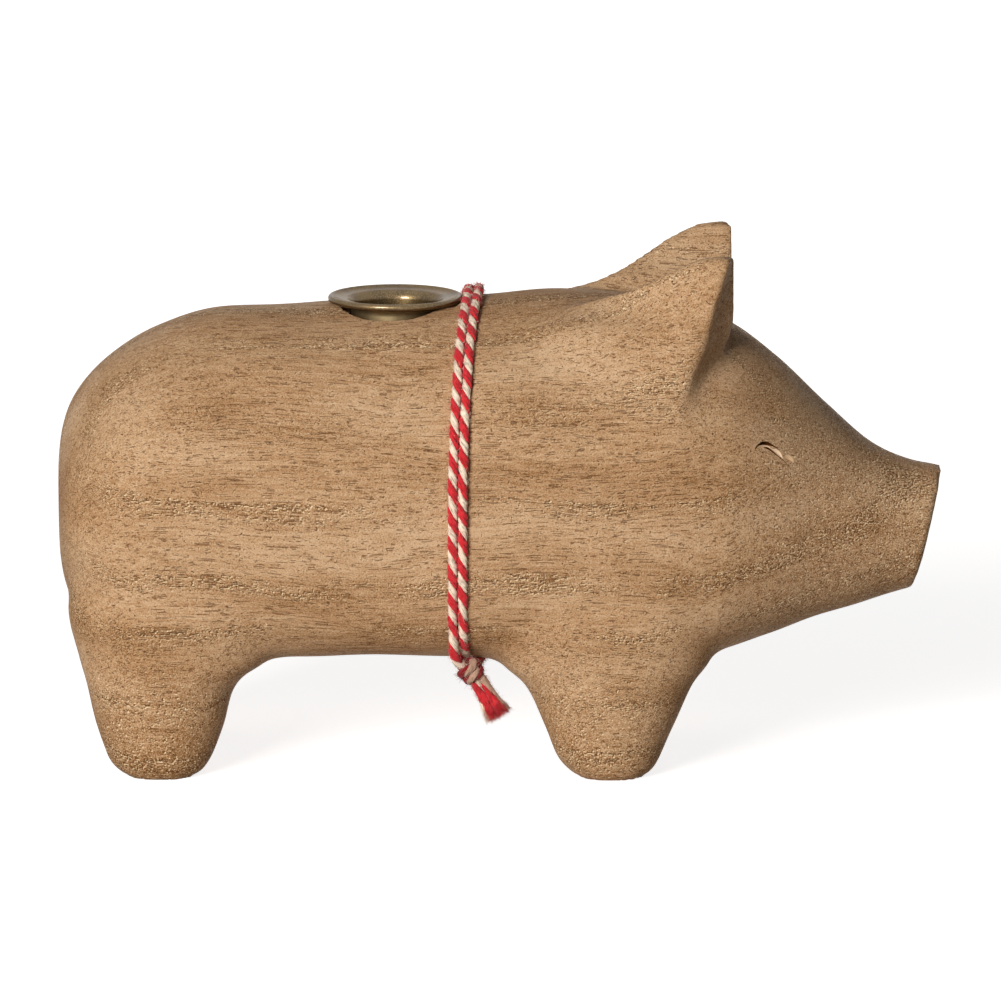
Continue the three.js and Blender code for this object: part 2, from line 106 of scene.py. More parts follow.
class BodySizes(bpy.types.PropertyGroup):
    """Sizes and colours of the carved body."""

    body_length: length("Length", "Rump to the top of the snout", 238)
    body_width: length("Width", "Across the flanks", 84)
    back_height: length("Back height", "Ridge of the back, at mid trunk", 123.3)
    belly_height: length("Belly height", "Underside of the belly above the soles", 30.2)
    rump_height: length("Rump height", "Rearmost point of the rump", 74)
    snout_width: length("Snout width", "Across the flat snout", 32)
    snout_top: length("Snout top", "Height of the snout's upper edge", 79.6)
    snout_bottom: length("Snout bottom", "Height of the snout's lower edge", 46.4)
    snout_rake: length("Snout rake", "How far the lower edge lies behind the upper one", 7.8)
    rear_leg_x: length("Rear leg place", "Rear leg axes along the body", -90.6)
    front_leg_x: length("Front leg place", "Front leg axes along the body", 30.4)
    leg_inset: length("Leg inset", "From the flank to the outer edge of the sole", 3.5)
    sole_length: length("Sole length", "Flat of a foot along the body", 20)
    sole_width: length("Sole width", "Flat of a foot across the body", 22)
    ear_height: length("Ear height", "Tip above the soles", 141)
    ear_tip_x: length("Ear tip place", "Front edge of the tip along the body", 63.9)
    ear_inset: length("Ear inset", "From the flank to the outer edge of the tip", 7)
    ear_length: length("Ear length", "Tip to where the front edge runs out in the cheek", 53)
    ear_depth: length("Ear depth", "Along the flank, at the root", 82)
    ear_breadth: length("Ear breadth", "Across the front face, at the root", 15)
    ear_scoop: length("Ear scoop", "Depth of the gouged hollow in an ear's front", 1.3)
    ear_swell: length("Ear swell", "How far an ear's outer face swells", 0.9)
    eye_x: length("Eye place", "Eye along the body", 73.6)
    eye_height: length("Eye height", "Middle of the eye above the soles", 88)
    fineness: length("Fineness", "Grid pitch of the carved surface", 1.08)
    stain_light: colour("Pale stain", "Stained wood on the ridges of the grain", 208, 173, 136)
    stain_middle: colour("Stain", "Stained wood", 181, 141, 102)
    stain_dark: colour("Dark stain", "Stained wood in the porous bands", 138, 97, 58)
    pore: colour("Pores", "Stain gathered in the open pores", 108, 61, 26)
    # painted highlight: pale colour put on the rims of the pits, on the side that the key lamp lights
    painted_glint: colour("Painted glint", "Bare fibres in the brushed grain", 255, 228, 184)
    pared_wood: colour("Pared wood", "Thinly stained wood beside the eyes", 212, 174, 132)
    bare_wood: colour("Bare wood", "Fresh cut wood in the eyes", 234, 202, 168)


class CupSizes(bpy.types.PropertyGroup):
    """Sizes and colours of the brass cup and of the bore that it stands in."""

    candle_diameter: length("Candle diameter", "Candle that the cup holds", 22)
    candle_play: length("Candle play", "Radial room round the candle", 0.4)
    cup_wall: length("Wall", "Sheet that the cup is pressed from", 0.8)
    cup_depth: length("Depth", "Flange's underside to the outside of the floor", 24)
    cup_x: length("Place", "Cup's axis along the body", -27.9)
    flange_diameter: length("Flange diameter", "Over the rolled edge", 36.4)
    rim_roll: length("Rim roll", "Radius of the rolled edge", 0.9)
    neck_flare: length("Neck flare", "Radius of the throat between flange and tube", 2.5)
    flange_dish: length("Flange dish", "Fall from the rolled edge to the throat", 0.8)
    floor_round: length("Floor round", "Radius round the cup's floor", 1.6)
    bore_clearance: length("Bore clearance", "Radial room round the tube", 0.5)
    bore_spare: length("Bore spare", "Depth left under the cup's floor", 1)
    neck_relief: length("Neck relief", "Radial room round the flared neck", 0.7)
    flange_relief: length("Flange relief", "Radial room round the let-in flange", 0.6)
    seat_sink: length("Seat sink", "Depth of the flange's seat in the ridge", 0.9)
    seat_gap: length("Seat gap", "Between the flange and its seat", 0.3)
    brass: colour("Brass", "Aged brass", 108, 87, 56)
    brass_dark: colour("Tarnish", "Dark patches of the aged brass", 80, 63, 40)
    # pale brass for the fine specks and the specular tint, and painted light on the neck under the
    # flange
    brass_specks_and_neck_light: colour("Rubbed brass", "Edges rubbed bright", 184, 164, 124)


class CordSizes(bpy.types.PropertyGroup):
    """Sizes and colours of the tied cord."""

    cord_diameter: length("Diameter", "Over both plies", 2.2)
    cord_turns: IntProperty(
        name="Turns", description="Turns round the body", default=2, min=1, max=4
    )
    turn_gap: length("Turn gap", "Between neighbouring turns", 0.45)
    cord_gap: length("Wood gap", "Between the cord and the wood", 0.35)
    cord_to_rim: length("Rim gap", "Between the cord and the cup's rim", 0.43)
    cord_yaw: share("Yaw", "Run of the turns forward for each length across", 0.085)
    cord_bow: length("Bow", "Radius of the turns' forward bow over the ridge", 4)
    knot_length: length("Knot length", "Across the knot, along its ends", 8)
    knot_thickness: length("Knot thickness", "From the wood outwards", 6.4)
    knot_angle: angle("Knot angle", "Place of the knot round the body", -126)
    knot_shift: length("Knot shift", "Forward of the turns", 1.6)
    knot_lead: share("Knot lead", "Share of a turn in which an end lifts to the knot", 0.055)
    tail_length: length("End length", "Each loose end past the knot", 8.6)
    tail_lean: angle("End lean", "The loose ends forward from hanging straight", 29)
    tail_spread: angle("End spread", "Each loose end away from their mean line", 3)
    tail_gap: length("End gap", "Between the loose ends at the knot", 0.45)
    twist_radius: length("Twist radius", "Middle of the cord to the outside of its plies", 1.2)
    lay_length: length("Lay", "Length of one full twist of the plies", 7.5)
    red: colour("Red ply", "Dyed ply", 214, 46, 52)
    natural: colour("Natural ply", "Undyed ply", 250, 226, 200)
    # painted shade: darker copies of the ply colours for the knot under the belly, and for the front
    # loose end's natural ply
    knot_red_shaded: colour("Red in the knot", "Dyed ply drawn tight in the knot", 149, 36, 37)
    knot_natural_shaded: colour("Natural in the knot", "Undyed ply drawn tight in the knot", 195, 156, 131)


class PigSizes(bpy.types.PropertyGroup):
    """All sizes and colours of the candle holder."""

    body: PointerProperty(type=BodySizes)
    cup: PointerProperty(type=CupSizes)
    cord: PointerProperty(type=CordSizes)


def in_millimetres(group):
    """The group's values under their own names, with lengths turned into millimetres."""
    values = {}
    for name, rule in group.bl_rna.properties.items():
        value = getattr(group, name)
        values[name] = value / MM if getattr(rule, "unit", "") == "LENGTH" else value
    return SimpleNamespace(**values)


def all_sizes(context):
    """Body, cup and cord values of the scene in one place, lengths in millimetres."""
    holder = context.scene.pig_holder
    together = {}
    for group in (holder.body, holder.cup, holder.cord):
        together.update(vars(in_millimetres(group)))
    return SimpleNamespace(**together)


def curve_through(points, shares):
    """Centripetal Catmull-Rom curve through rows of points, read at shares of its rows.

    Each span is the cubic between two rows whose end slopes blend the neighbouring spans,
    weighted by the square roots of their lengths.
    """
    points = np.asarray(points, float)
    before = 2 * points[0] - points[1]
    after = 2 * points[-1] - points[-2]
    rows = np.vstack([before, points, after])
    place = np.clip(np.asarray(shares, float), 0, 1) * (len(points) - 1)
    span = np.minimum(place.astype(int), len(points) - 2)
    t = (place - span)[:, None]
    p0, p1, p2, p3 = (rows[span + k] for k in range(4))
    pairs = ((p0, p1), (p1, p2), (p2, p3))
    gaps = [((b - a) ** 2).sum(1, keepdims=True) ** 0.25 for a, b in pairs]
    least = 1e-4
    middle = np.where(gaps[1] < least, 1, gaps[1])
    first = np.where(gaps[0] < least, middle, gaps[0])
    last = np.where(gaps[2] < least, middle, gaps[2])
    leave = ((p1 - p0) / first - (p2 - p0) / (first + middle) + (p2 - p1) / middle) * middle
    reach = ((p2 - p1) / middle - (p3 - p1) / (middle + last) + (p3 - p2) / last) * middle
    square = 3 * (p2 - p1) - 2 * leave - reach
    cube = 2 * (p1 - p2) + leave + reach
    return p1 + leave * t + square * t**2 + cube * t**3


def boxed(values, power):
    """Values raised to a power with their signs kept."""
    return np.sign(values) * np.abs(values) ** power


def outline(centre, side, up, crown, keel, angles):
    """Rounded outlines about a row of centres: centre + side |cos|^(2/n) + up |sin|^(2/n).

    Signs are kept, and n is the crown's squareness above the centre and the keel's below.
    Shapes broadcast: sections along the first axis, angles along the second.
    """
    cosine = np.cos(angles)[None, :]
    sine = np.sin(angles)[None, :]
    power = 2 / np.where(sine >= 0, crown[:, None], keel[:, None])
    across = boxed(cosine, power)
    rise = boxed(sine, power)
    return centre[:, None] + across[..., None] * side[:, None] + rise[..., None] * up[:, None]


def between(low, high, part):
    """The value a part of the way from low to high."""
    return low + (high - low) * np.asarray(part, float)


def trunk_ribs(s):
    """Ribs from the rump to the snout: rows of top x, top z, bottom x, bottom z, half-width,
    crown and keel, from shares of the body's sizes."""
    flank = s.body_width / 2
    along_top = np.array([
        0, 0.0013, 0.0067, 0.0168, 0.0378, 0.0672, 0.1092, 0.1723, 0.2899, 0.4874, 0.584,
        0.6891, 0.7605, 0.813, 0.8672, 0.9214, 0.9622, 1,
    ])
    along_bottom = np.array([
        0, 0.0013, 0.0067, 0.0168, 0.0378, 0.0672, 0.1092, 0.1723, 0.2899, 0.4874, 0.5882,
        0.6849, 0.7479, 0.8025, 0.8529, 0.9013, 0.9349, 1 - s.snout_rake / s.body_length,
    ])
    rises = [0, 0.162, 0.325, 0.46, 0.61, 0.74, 0.866, 0.959, 1, 1.053, 1.073, 1.02]
    brows = [0.124, 0.334, 0.625, 0.874, 0.966, 1]
    drops = [0, 0.183, 0.479, 0.658, 0.817, 0.932, 0.984, 1, 1, 1, 1, 1]
    jaws = [0.025, 0.272, 0.531, 0.716, 0.864, 1]
    broads = [0, 0.262, 0.476, 0.655, 0.81, 0.929, 0.988, 1, 1, 1, 1, 1]
    tapers = [0.1, 0.31, 0.55, 0.75, 0.89, 1]
    crowns = [2.2, 2.2, 2.2, 2.2, 2.1, 2.1, 2.1, 2.1, 2, 2, 2.1, 2.2, 2.2, 2.2, 2.2, 2.2, 2.2, 2.2]
    keels = [2.4, 2.4, 2.5, 2.7, 3, 3.4, 3.8, 4, 4, 4, 4, 3.6, 3.2, 2.8, 2.5, 2.3, 2.2, 2.2]
    tops = np.append(
        between(s.rump_height, s.back_height, rises), between(s.back_height, s.snout_top, brows)
    )
    bottoms = np.append(
        between(s.rump_height, s.belly_height, drops),
        between(s.belly_height, s.snout_bottom, jaws),
    )
    halves = np.append(flank * np.array(broads), between(flank, s.snout_width / 2, tapers))
    rump = -s.body_length / 2
    return np.column_stack([
        rump + s.body_length * along_top, tops,
        rump + s.body_length * along_bottom, bottoms,
        halves, crowns, keels,
    ])


def trunk_line(ribs, x_column, shares):
    """The trunk's top or bottom line at shares of its ribs, from a column of x and the next,
    of z."""
    flat = np.zeros(len(ribs))
    return curve_through(np.column_stack([ribs[:, x_column], flat, ribs[:, x_column + 1]]), shares)


def trunk_points(s, shares, angles):
    """The trunk's surface at shares of its ribs and angles round it: splined ribs, each an
    outline between the splined top and bottom lines."""
    ribs = trunk_ribs(s)
    top = trunk_line(ribs, 0, shares)
    bottom = trunk_line(ribs, 2, shares)
    form = curve_through(ribs[:, 4:], shares)
    side = form[:, :1] * np.array([0, 1, 0])
    return outline((top + bottom) / 2, side, (top - bottom) / 2, form[:, 1], form[:, 2], angles)


def trunk_share_at(s, x):
    """Shares of the ribs at which the trunk's top line passes the given x."""
    samples = 4001
    shares = np.linspace(0, 1, samples)
    return np.interp(x, trunk_line(trunk_ribs(s), 0, shares)[:, 0], shares)


def leg_stations(s, axis_x, back_reach, front_reach):
    """A leg from its rounded sole up into the trunk: rows of height, back, front, inner and
    outer reach, from shares of the belly's height and the sole's sizes."""
    flank = s.body_width / 2
    heights = np.array([0, 0.04, 0.149, 0.437, 0.801, 1.033, 1.464, 2.06])
    inwards = np.array([-0.068, 0.023, 0.091, 0.227, 0.409, 0.636, 0.636, 0.409])
    insets = np.array([1.43, 1, 0.66, 0.4, 0.23, 0.17, 0.17, 1.71])
    return np.column_stack([
        s.belly_height * heights,
        axis_x - s.sole_length * (0.5 + np.array(back_reach)),
        axis_x + s.sole_length * (0.5 + np.array(front_reach)),
        flank - s.leg_inset - s.sole_width * (1 + inwards),
        flank - s.leg_inset * insets,
    ])


def rear_leg(s):
    """Stations of a rear leg, with the ham behind and above it."""
    back = [-0.075, 0.05, 0.21, 0.37, 0.49, 0.6, 0.74, 0.52]
    front = [-0.075, 0.05, 0.17, 0.35, 0.53, 0.975, 1.2, 0.75]
    return leg_stations(s, s.rear_leg_x, back, front)


def front_leg(s):
    """Stations of a front leg, with the shoulder above it."""
    back = [-0.075, 0.05, 0.21, 0.4, 0.66, 1.025, 1.2, 0.75]
    front = [-0.1, 0.015, 0.135, 0.315, 0.57, 0.85, 1.05, 0.75]
    return leg_stations(s, s.front_leg_x, back, front)


def ear_corners(s):
    """An ear's three corners from its tip down to where it runs out in the cheek: its front
    edge on the flank's side, the inner end of its front face, and its rear end.

    Rows of height and the corners' x and y, from shares of the ear's sizes.
    """
    flank = s.body_width / 2
    down = np.array([0, 0.013, 0.075, 0.17, 0.283, 0.415, 0.585, 0.755, 0.887, 1])
    edge_back = np.array([0.036, 0.028, 0.037, 0.058, 0.078, 0.107, 0.138, 0.161, 0.176, 0.183])
    edge_in = np.array([1.143, 1, 0.886, 0.8, 0.7, 0.586, 0.443, 0.357, 0.3, 0.257])
    inner_back = np.array([0.02, 0.01, 0.002, -0.004, -0.008, 0.002, 0.055, 0.105, 0.14, 0.16])
    inner_in = np.array([0.42, 0.5, 0.6, 0.68, 0.79, 0.9, 1, 1, 1, 0.867])
    rear_back = np.array([0.12, 0.15, 0.235, 0.355, 0.545, 0.89, 1.02, 1.02, 1.02, 1.02])
    rear_in = np.array([0.4, 0.43, 0.53, 0.76, 1.333, 1.147, 0.733, 0.093, -0.227, -0.267])
    height = s.ear_height - s.ear_length * down
    outer_tip = flank - s.ear_inset
    edge = np.column_stack([s.ear_tip_x - s.ear_depth * edge_back, flank - s.ear_inset * edge_in])
    inner = np.column_stack([
        s.ear_tip_x - s.ear_depth * inner_back, outer_tip - s.ear_breadth * inner_in
    ])
    rear = np.column_stack([
        s.ear_tip_x - s.ear_depth * rear_back, outer_tip - s.ear_breadth * rear_in
    ])
    return height, (edge, inner, rear)


def ear_points(s, mirrored, rows, per_side, rounding):
    """An ear's surface: level three-sided outlines, splined from tip to root, with a hollow
    front face and faintly swelling sides. A side is P + (Q - P) t + swell 4 t (1 - t) normal,
    rounds of averaging neighbours take the corners off, and the front edge wavers as the
    knife left it."""
    height, corners = ear_corners(s)
    shares = np.linspace(0, 1, rows)
    splined = [curve_through(np.column_stack([height, corner]), shares) for corner in corners]
    knife = 0.4 * np.sin(shares * 24 + 0.6) + 0.25 * np.sin(shares * 53 + 2)
    splined[0][:, 1] += knife * smooth_step(0.15, 0.35, shares) * (1 - smooth_step(0.75, 1, shares))
    deep = smooth_step(0.04, 0.3, shares) * (1 - 0.6 * smooth_step(0.7, 1, shares))
    swells = (-s.ear_scoop * deep, s.ear_swell / 3 * deep, s.ear_swell * deep)
    t = np.arange(per_side) / per_side
    sides = []
    for k, swell in enumerate(swells):
        begin, finish = splined[k], splined[(k + 1) % 3]
        way = finish - begin
        normal = np.column_stack([-way[:, 2], way[:, 1]])
        normal /= np.linalg.norm(normal, axis=1, keepdims=True)
        flat = begin[:, None, 1:] + way[:, None, 1:] * t[None, :, None]
        flat = flat + normal[:, None] * (swell[:, None] * 4 * t * (1 - t))[..., None]
        level = np.broadcast_to(begin[:, None, :1], flat.shape[:2] + (1,))
        sides.append(np.concatenate([flat, level], axis=-1))
    skin = np.concatenate(sides, axis=1)
    for _ in range(rounding):
        skin = (np.roll(skin, 1, axis=1) + 2 * skin + np.roll(skin, -1, axis=1)) / 4
    if mirrored:
        skin = skin[:, ::-1] * np.array([1, -1, 1])
    return skin


def leg_points(stations, mirrored, squareness, shares, angles):
    """A leg's surface: outlines level with the floor, splined from station to station."""
    sign = -1 if mirrored else 1
    reach = curve_through(stations[:, [0, 1, 2]], shares)
    spread = curve_through(stations[:, [0, 3, 4]], shares)
    height, back, front = reach.T
    inner, outer = spread[:, 1], spread[:, 2]
    centre = np.column_stack([(back + front) / 2, sign * (inner + outer) / 2, height])
    side = ((front - back) / 2)[:, None] * np.array([1, 0, 0])
    up = ((outer - inner) / 2)[:, None] * np.array([0, 1, 0])
    power = np.full(len(height), squareness)
    return outline(centre, side, up, power, power, angles)


def closed_loft(rings):
    """Points and faces of a closed skin over rings of points: quads between the rings and a
    fan of triangles to the middle of each end ring."""
    count, around = rings.shape[:2]
    points = np.vstack([rings.reshape(-1, 3), rings[0].mean(0), rings[-1].mean(0)])
    here = np.arange(around)
    there = np.roll(here, -1)
    row = (np.arange(count - 1) * around)[:, None]
    quads = np.stack(
        [row + here, row + there, row + around + there, row + around + here], axis=-1
    ).reshape(-1, 4)
    last = (count - 1) * around
    start = np.column_stack([there, here, np.full(around, len(points) - 2)])
    end = np.column_stack([last + here, last + there, np.full(around, len(points) - 1)])
    return points, quads.tolist() + start.tolist() + end.tolist()


def joined(parts):
    """Several points-and-faces shapes as one, the later ones' faces counted on."""
    points = np.vstack([p for p, _ in parts])
    starts = np.cumsum([0] + [len(p) for p, _ in parts[:-1]])
    faces = [[int(start) + i for i in face] for start, (_, fs) in zip(starts, parts) for face in fs]
    return points, faces


def new_object(name, points_mm, faces, materials):
    """An object at the origin with its place in its mesh, from points in millimetres."""
    mesh = bpy.data.meshes.new(name)
    mesh.from_pydata(np.asarray(points_mm, float) * MM, [], faces)
    for material in materials:
        mesh.materials.append(material)
    mesh.shade_smooth()
    made = bpy.data.objects.new(name, mesh)
    bpy.context.scene.collection.objects.link(made)
    return made


def take_modifiers(obj):
    """Replaces the object's mesh by what its modifiers make of it."""
    graph = bpy.context.evaluated_depsgraph_get()
    made = bpy.data.meshes.new_from_object(obj.evaluated_get(graph))
    obj.modifiers.clear()
    old = obj.data
    made.name = old.name
    obj.data = made
    bpy.data.meshes.remove(old)


def drop_object(obj):
    """Removes a helper object and its mesh."""
    mesh = obj.data
    bpy.data.objects.remove(obj)
    bpy.data.meshes.remove(mesh)


def mesh_points(mesh):
    """The mesh's points in millimetres."""
    flat = np.empty(len(mesh.vertices) * 3)
    mesh.vertices.foreach_get("co", flat)
    return flat.reshape(-1, 3) / MM


def set_mesh_points(mesh, points_mm):
    """Puts points in millimetres back into the mesh."""
    mesh.vertices.foreach_set("co", (points_mm * MM).ravel())
    mesh.update()


def mesh_quads(mesh):
    """The mesh's faces as rows of four points, for a mesh that is all quads."""
    flat = np.empty(len(mesh.loops), int)
    mesh.loops.foreach_get("vertex_index", flat)
    return flat.reshape(-1, 4)


def summed(index, values, count):
    """Sums rows of values that share an index, for each of count indices."""
    return np.column_stack([np.bincount(index, values[:, k], count) for k in range(3)])


def point_normals(points, quads):
    """Unit normals at the points: the sum of the cross products of their quads' diagonals."""
    corners = points[quads]
    faces = np.cross(corners[:, 2] - corners[:, 0], corners[:, 3] - corners[:, 1])
    total = summed(quads.ravel(), faces.repeat(4, axis=0), len(points))
    return total / np.maximum(np.linalg.norm(total, axis=1, keepdims=True), 1e-12)


def towards_neighbours(points, edges, valence):
    """How far the mean of each point's neighbours lies from it."""
    total = summed(edges[:, 0], points[edges[:, 1]], len(points))
    total += summed(edges[:, 1], points[edges[:, 0]], len(points))
    return total / valence - points


def carved(points, quads, edges, soft, sand_rounds, even_rounds, fill_rounds):
    """Evens a stepped surface and rounds its inner corners out, as a gouge leaves them.

    Sand rounds move points half way to their neighbours' mean, which softens the edges where
    soft, a share for each point, says so. Even rounds move all of them and part of the way
    back, which keeps the volume. Fill rounds then move points in hollows outwards along the
    normal, and those in the soft places less.
    """
    there, back, fill = 0.5, 0.45, 0.6
    valence = np.bincount(edges.ravel(), minlength=len(points))[:, None]
    for _ in range(sand_rounds):
        points = points + there * soft[:, None] * towards_neighbours(points, edges, valence)
    for _ in range(even_rounds):
        points = points + there * towards_neighbours(points, edges, valence)
        points = points - back * towards_neighbours(points, edges, valence)
    for _ in range(fill_rounds):
        normals = point_normals(points, quads)
        outwards = (towards_neighbours(points, edges, valence) * normals).sum(1)
        points = points + normals * (fill * (1 - 0.5 * soft) * np.maximum(outwards, 0))[:, None]
    return points


def smooth_step(low, high, values):
    """0 up to low, 1 from high, and a smooth rise between."""
    part = np.clip((values - low) / (high - low), 0, 1)
    return part * part * (3 - 2 * part)


def tool_marks(points, normals):
    """Points moved for the unevenness of hand work: three crossing waves along the normal."""
    waves = (
        (0.20, (0.13, 0.05, 0.09), 0.4),
        (0.14, (-0.07, 0.16, 0.12), 1.9),
        (0.10, (0.21, -0.12, 0.17), 4.2),
    )
    lift = sum(size * np.sin(points @ np.array(way) + phase) for size, way, phase in waves)
    return points + normals * lift[:, None]


def lathe_points(profile, around, wobble=0):
    """A profile of radius and height turned round the z axis: (r cos a, r sin a, z).

    Wobble, one value for each angle, is added to every radius but those on the axis.
    """
    angles = np.arange(around) / around * TURN
    profile = np.asarray(profile, float)
    radius = profile[:, :1] + np.where(profile[:, :1] > 0.01, wobble, 0)
    height = profile[:, 1:].repeat(around, axis=1)
    return np.stack([radius * np.cos(angles), radius * np.sin(angles), height], axis=-1)


def cup_radii(s):
    """Inner and outer radius of the cup's tube, outer radius of its neck, and its rim."""
    inner = s.candle_diameter / 2 + s.candle_play
    outer = inner + s.cup_wall
    return inner, outer, outer + s.neck_flare, s.flange_diameter / 2


def seat_height(s):
    """Height of the flange's seat, sunk into the ridge at the cup."""
    ridge = trunk_points(s, trunk_share_at(s, np.array([s.cup_x])), np.array([TURN / 4]))
    return ridge[0, 0, 2] - s.seat_sink


def bore_cutter(s):
    """The turned bore for the cup: tube, relief round the neck, and the flange's flat seat.

    The relief's edge is uneven, with a chip broken out of it towards the rump.
    """
    around = 144
    angles = np.arange(around) / around * TURN
    _, outer, neck, rim = cup_radii(s)
    relief = neck + s.neck_relief
    depth = s.neck_flare + s.neck_relief
    floor = -(s.cup_depth + s.bore_spare)
    above = s.seat_sink + rim
    tube = outer + s.bore_clearance
    chip_at, chip_spread, chip_depth = math.radians(231), 0.26, 0.9
    chip = np.exp(-(((angles - chip_at) / chip_spread) ** 2))
    waves = ((0.16, 9, 0.7), (0.1, 23, 0), (0.07, 41, 2))
    rough = sum(size * np.sin(count * angles + phase) for size, count, phase in waves)
    bevel = 0.4
    plain = lathe_points([(tube, floor), (tube, -depth - bevel), (tube + bevel, -depth)], around)
    widest = 1.3
    wide = widest * np.sin(angles) ** 2
    foot = lathe_points([(relief, -depth)], around, rough)
    painted_highlight_mask = lathe_points([(relief, 0)], around, rough + wide + chip_depth * chip)
    seat = lathe_points([(rim + s.flange_relief, 0), (rim + s.flange_relief, above)], around)
    rings = np.concatenate([plain, foot, painted_highlight_mask, seat])
    rings += np.array([s.cup_x, 0, seat_height(s)])
    return closed_loft(rings)


def cheek_frame(outward, mirrored):
    """Unit vectors on the cheek where this is the way out: forward and up along it."""
    forward = np.array([1, 0, 0]) - outward * outward[0]
    forward /= np.linalg.norm(forward)
    upward = np.cross(outward, forward) * (1 if mirrored else -1)
    return forward, upward


def knife_cut(spot, outward, mirrored, line, section):
    """A cut carried along a line on the cheek.

    The line's rows start with millimetres forward and up from the spot, and the section turns
    each row into points of millimetres left of the line and out of the wood.
    """
    rows = 60
    steps = curve_through(line, np.linspace(0, 1, rows))
    forward, upward = cheek_frame(outward, mirrored)
    heading = np.gradient(steps[:, :2], axis=0)
    heading /= np.linalg.norm(heading, axis=1, keepdims=True)
    left = np.column_stack([-heading[:, 1], heading[:, 0]])
    rings = []
    for aside, rise in section(*steps[:, 2:].T):
        flat = steps[:, :2] + left * aside[:, None]
        on_cheek = spot + flat[:, :1] * forward + flat[:, 1:] * upward
        rings.append(on_cheek + rise[:, None] * outward)
    grid = np.stack(rings, axis=1)
    return closed_loft(grid if mirrored else grid[:, ::-1])


def slit(width, depth):
    """Section of a narrow cut whose walls lean in towards its floor."""
    clear = 1.5 + 0 * width
    return [
        (-width * 0.5, clear), (-width * 0.5, 0 * width), (-width * 0.25, -depth),
        (width * 0.25, -depth), (width * 0.5, 0 * width), (width * 0.5, clear),
    ]


def paring(reach, depth):
    """Section of a shallow slope, deepest on the line, that runs out to its left."""
    clear = 1.5 + 0 * reach
    return [
        (0 * reach, clear), (0 * reach, -depth), (reach * 0.45, -0.5 * depth),
        (reach, 0.1 + 0 * reach), (reach + 0.3, clear),
    ]


def eye_cuts(spot, outward, mirrored):
    """The closed eye's knife cuts: an arched slit, a second one under it that runs on towards
    the snout, and between and beyond them three parings.

    Rows give millimetres forward and up from the spot, the slit's width or the paring's
    reach, and the depth.
    """
    lid = np.array([
        (-5.9, 0.55, 0.25, 0.6),
        (-5.4, 1.3, 0.4, 1.2),
        (-4.6, 2.0, 0.55, 1.7),
        (-3.4, 2.43, 0.9, 2.1),
        (-2.25, 2.55, 1.0, 2.2),
        (-1.0, 2.3, 0.7, 1.8),
        (0.2, 1.9, 0.36, 1.2),
        (1.2, 1.55, 0.18, 0.5),
    ])
    under = np.array([
        (-3.25, 1.28, 0.2, 0.5),
        (-1.9, 1.15, 0.52, 1.6),
        (-1.0, 0.7, 0.5, 1.8),
        (0.1, 0.1, 0.3, 1.5),
        (1.2, -0.6, 0.22, 1.2),
        (2.75, -1.5, 0.18, 1.0),
        (4.1, -2.5, 0.16, 0.8),
        (4.5, -3.5, 0.1, 0.3),
    ])
    sliver = np.array([
        (-3.9, 1.45, 0.15, 0.1),
        (-3.0, 1.55, 0.4, 0.35),
        (-2.0, 1.5, 0.45, 0.4),
        (-1.1, 1.2, 0.3, 0.2),
    ])
    neck_painted_light = np.array([
        (-1.4, 1.25, 0.2, 0.1),
        (-0.7, 0.85, 0.6, 0.35),
        (0.2, 0.35, 1.2, 0.6),
        (1.1, -0.15, 1.35, 0.65),
        (1.9, -0.6, 1.0, 0.5),
        (2.6, -0.95, 0.4, 0.1),
    ])
    flat = np.array([
        (2.8, -0.7, 0.5, 0.1),
        (3.6, -0.94, 1.7, 0.45),
        (4.6, -1.24, 2.1, 0.6),
        (5.6, -1.54, 1.7, 0.45),
        (6.4, -1.78, 0.5, 0.1),
    ])
    cheek = (spot, outward, mirrored)
    return (
        knife_cut(*cheek, flat, paring),
        knife_cut(*cheek, sliver, paring),
        knife_cut(*cheek, neck_painted_light, paring),
        knife_cut(*cheek, lid, slit),
        knife_cut(*cheek, under, slit),
    )


def cup_profile(s):
    """The cup's section from the outside of its floor, up the tube and the flared neck, round
    the rolled edge, down the dished flange and the throat to the inside of the floor."""
    inner, outer, neck, rim = cup_radii(s)
    throat = s.neck_flare - s.cup_wall
    throat_top = 2 * s.rim_roll - s.flange_dish

    def arc(x, z, radius, start, end, count):
        turn = np.radians(np.linspace(start, end, count))
        return np.column_stack([x + radius * np.cos(turn), z + radius * np.sin(turn)])

    def wall(radius, start, end):
        heights = np.linspace(start, end, WALL_ROWS + 2)[1:-1]
        return np.column_stack([np.full(WALL_ROWS, radius), heights])

    round_x = outer - s.floor_round
    round_z = s.floor_round - s.cup_depth
    bend = throat + s.cup_wall
    lead, corner = 0.3, 1
    floor = s.cup_wall - s.cup_depth
    return np.vstack([
        arc(round_x, round_z, s.floor_round, -90, 0, FLOOR_ROWS),
        wall(outer, round_z, -s.neck_flare),
        arc(neck, -s.neck_flare, s.neck_flare, 180, 90, NECK_ROWS),
        arc(rim - s.rim_roll, s.rim_roll, s.rim_roll, -90, 90, 18),
        arc(rim - s.rim_roll, s.rim_roll, s.rim_roll, 100, 140, 5),
        arc(inner + bend + lead, throat_top - bend, bend, 84, 180, 16) - np.array([lead, 0]),
        wall(inner, throat_top - bend, floor),
        arc(inner - corner, floor + corner, corner, 0, -90, 5),
    ])


def on_trunk(s, x, angles):
    """Points of the trunk at places along it and angles round it, and the ways out of the
    wood there, from the outline's own slope."""
    nudge = 0.01
    shares = trunk_share_at(s, x)
    stacked = np.concatenate([angles, angles + nudge, angles - nudge])
    count = len(angles)
    pick = np.arange(count)
    grid = trunk_points(s, shares, stacked)
    here, ahead, behind = (grid[pick, pick + k * count] for k in range(3))
    along = ahead - behind
    outward = np.column_stack([np.zeros(count), along[:, 2], -along[:, 1]])
    outward /= np.linalg.norm(outward, axis=1, keepdims=True)
    here = np.column_stack([x, here[:, 1:]])
    return here, outward


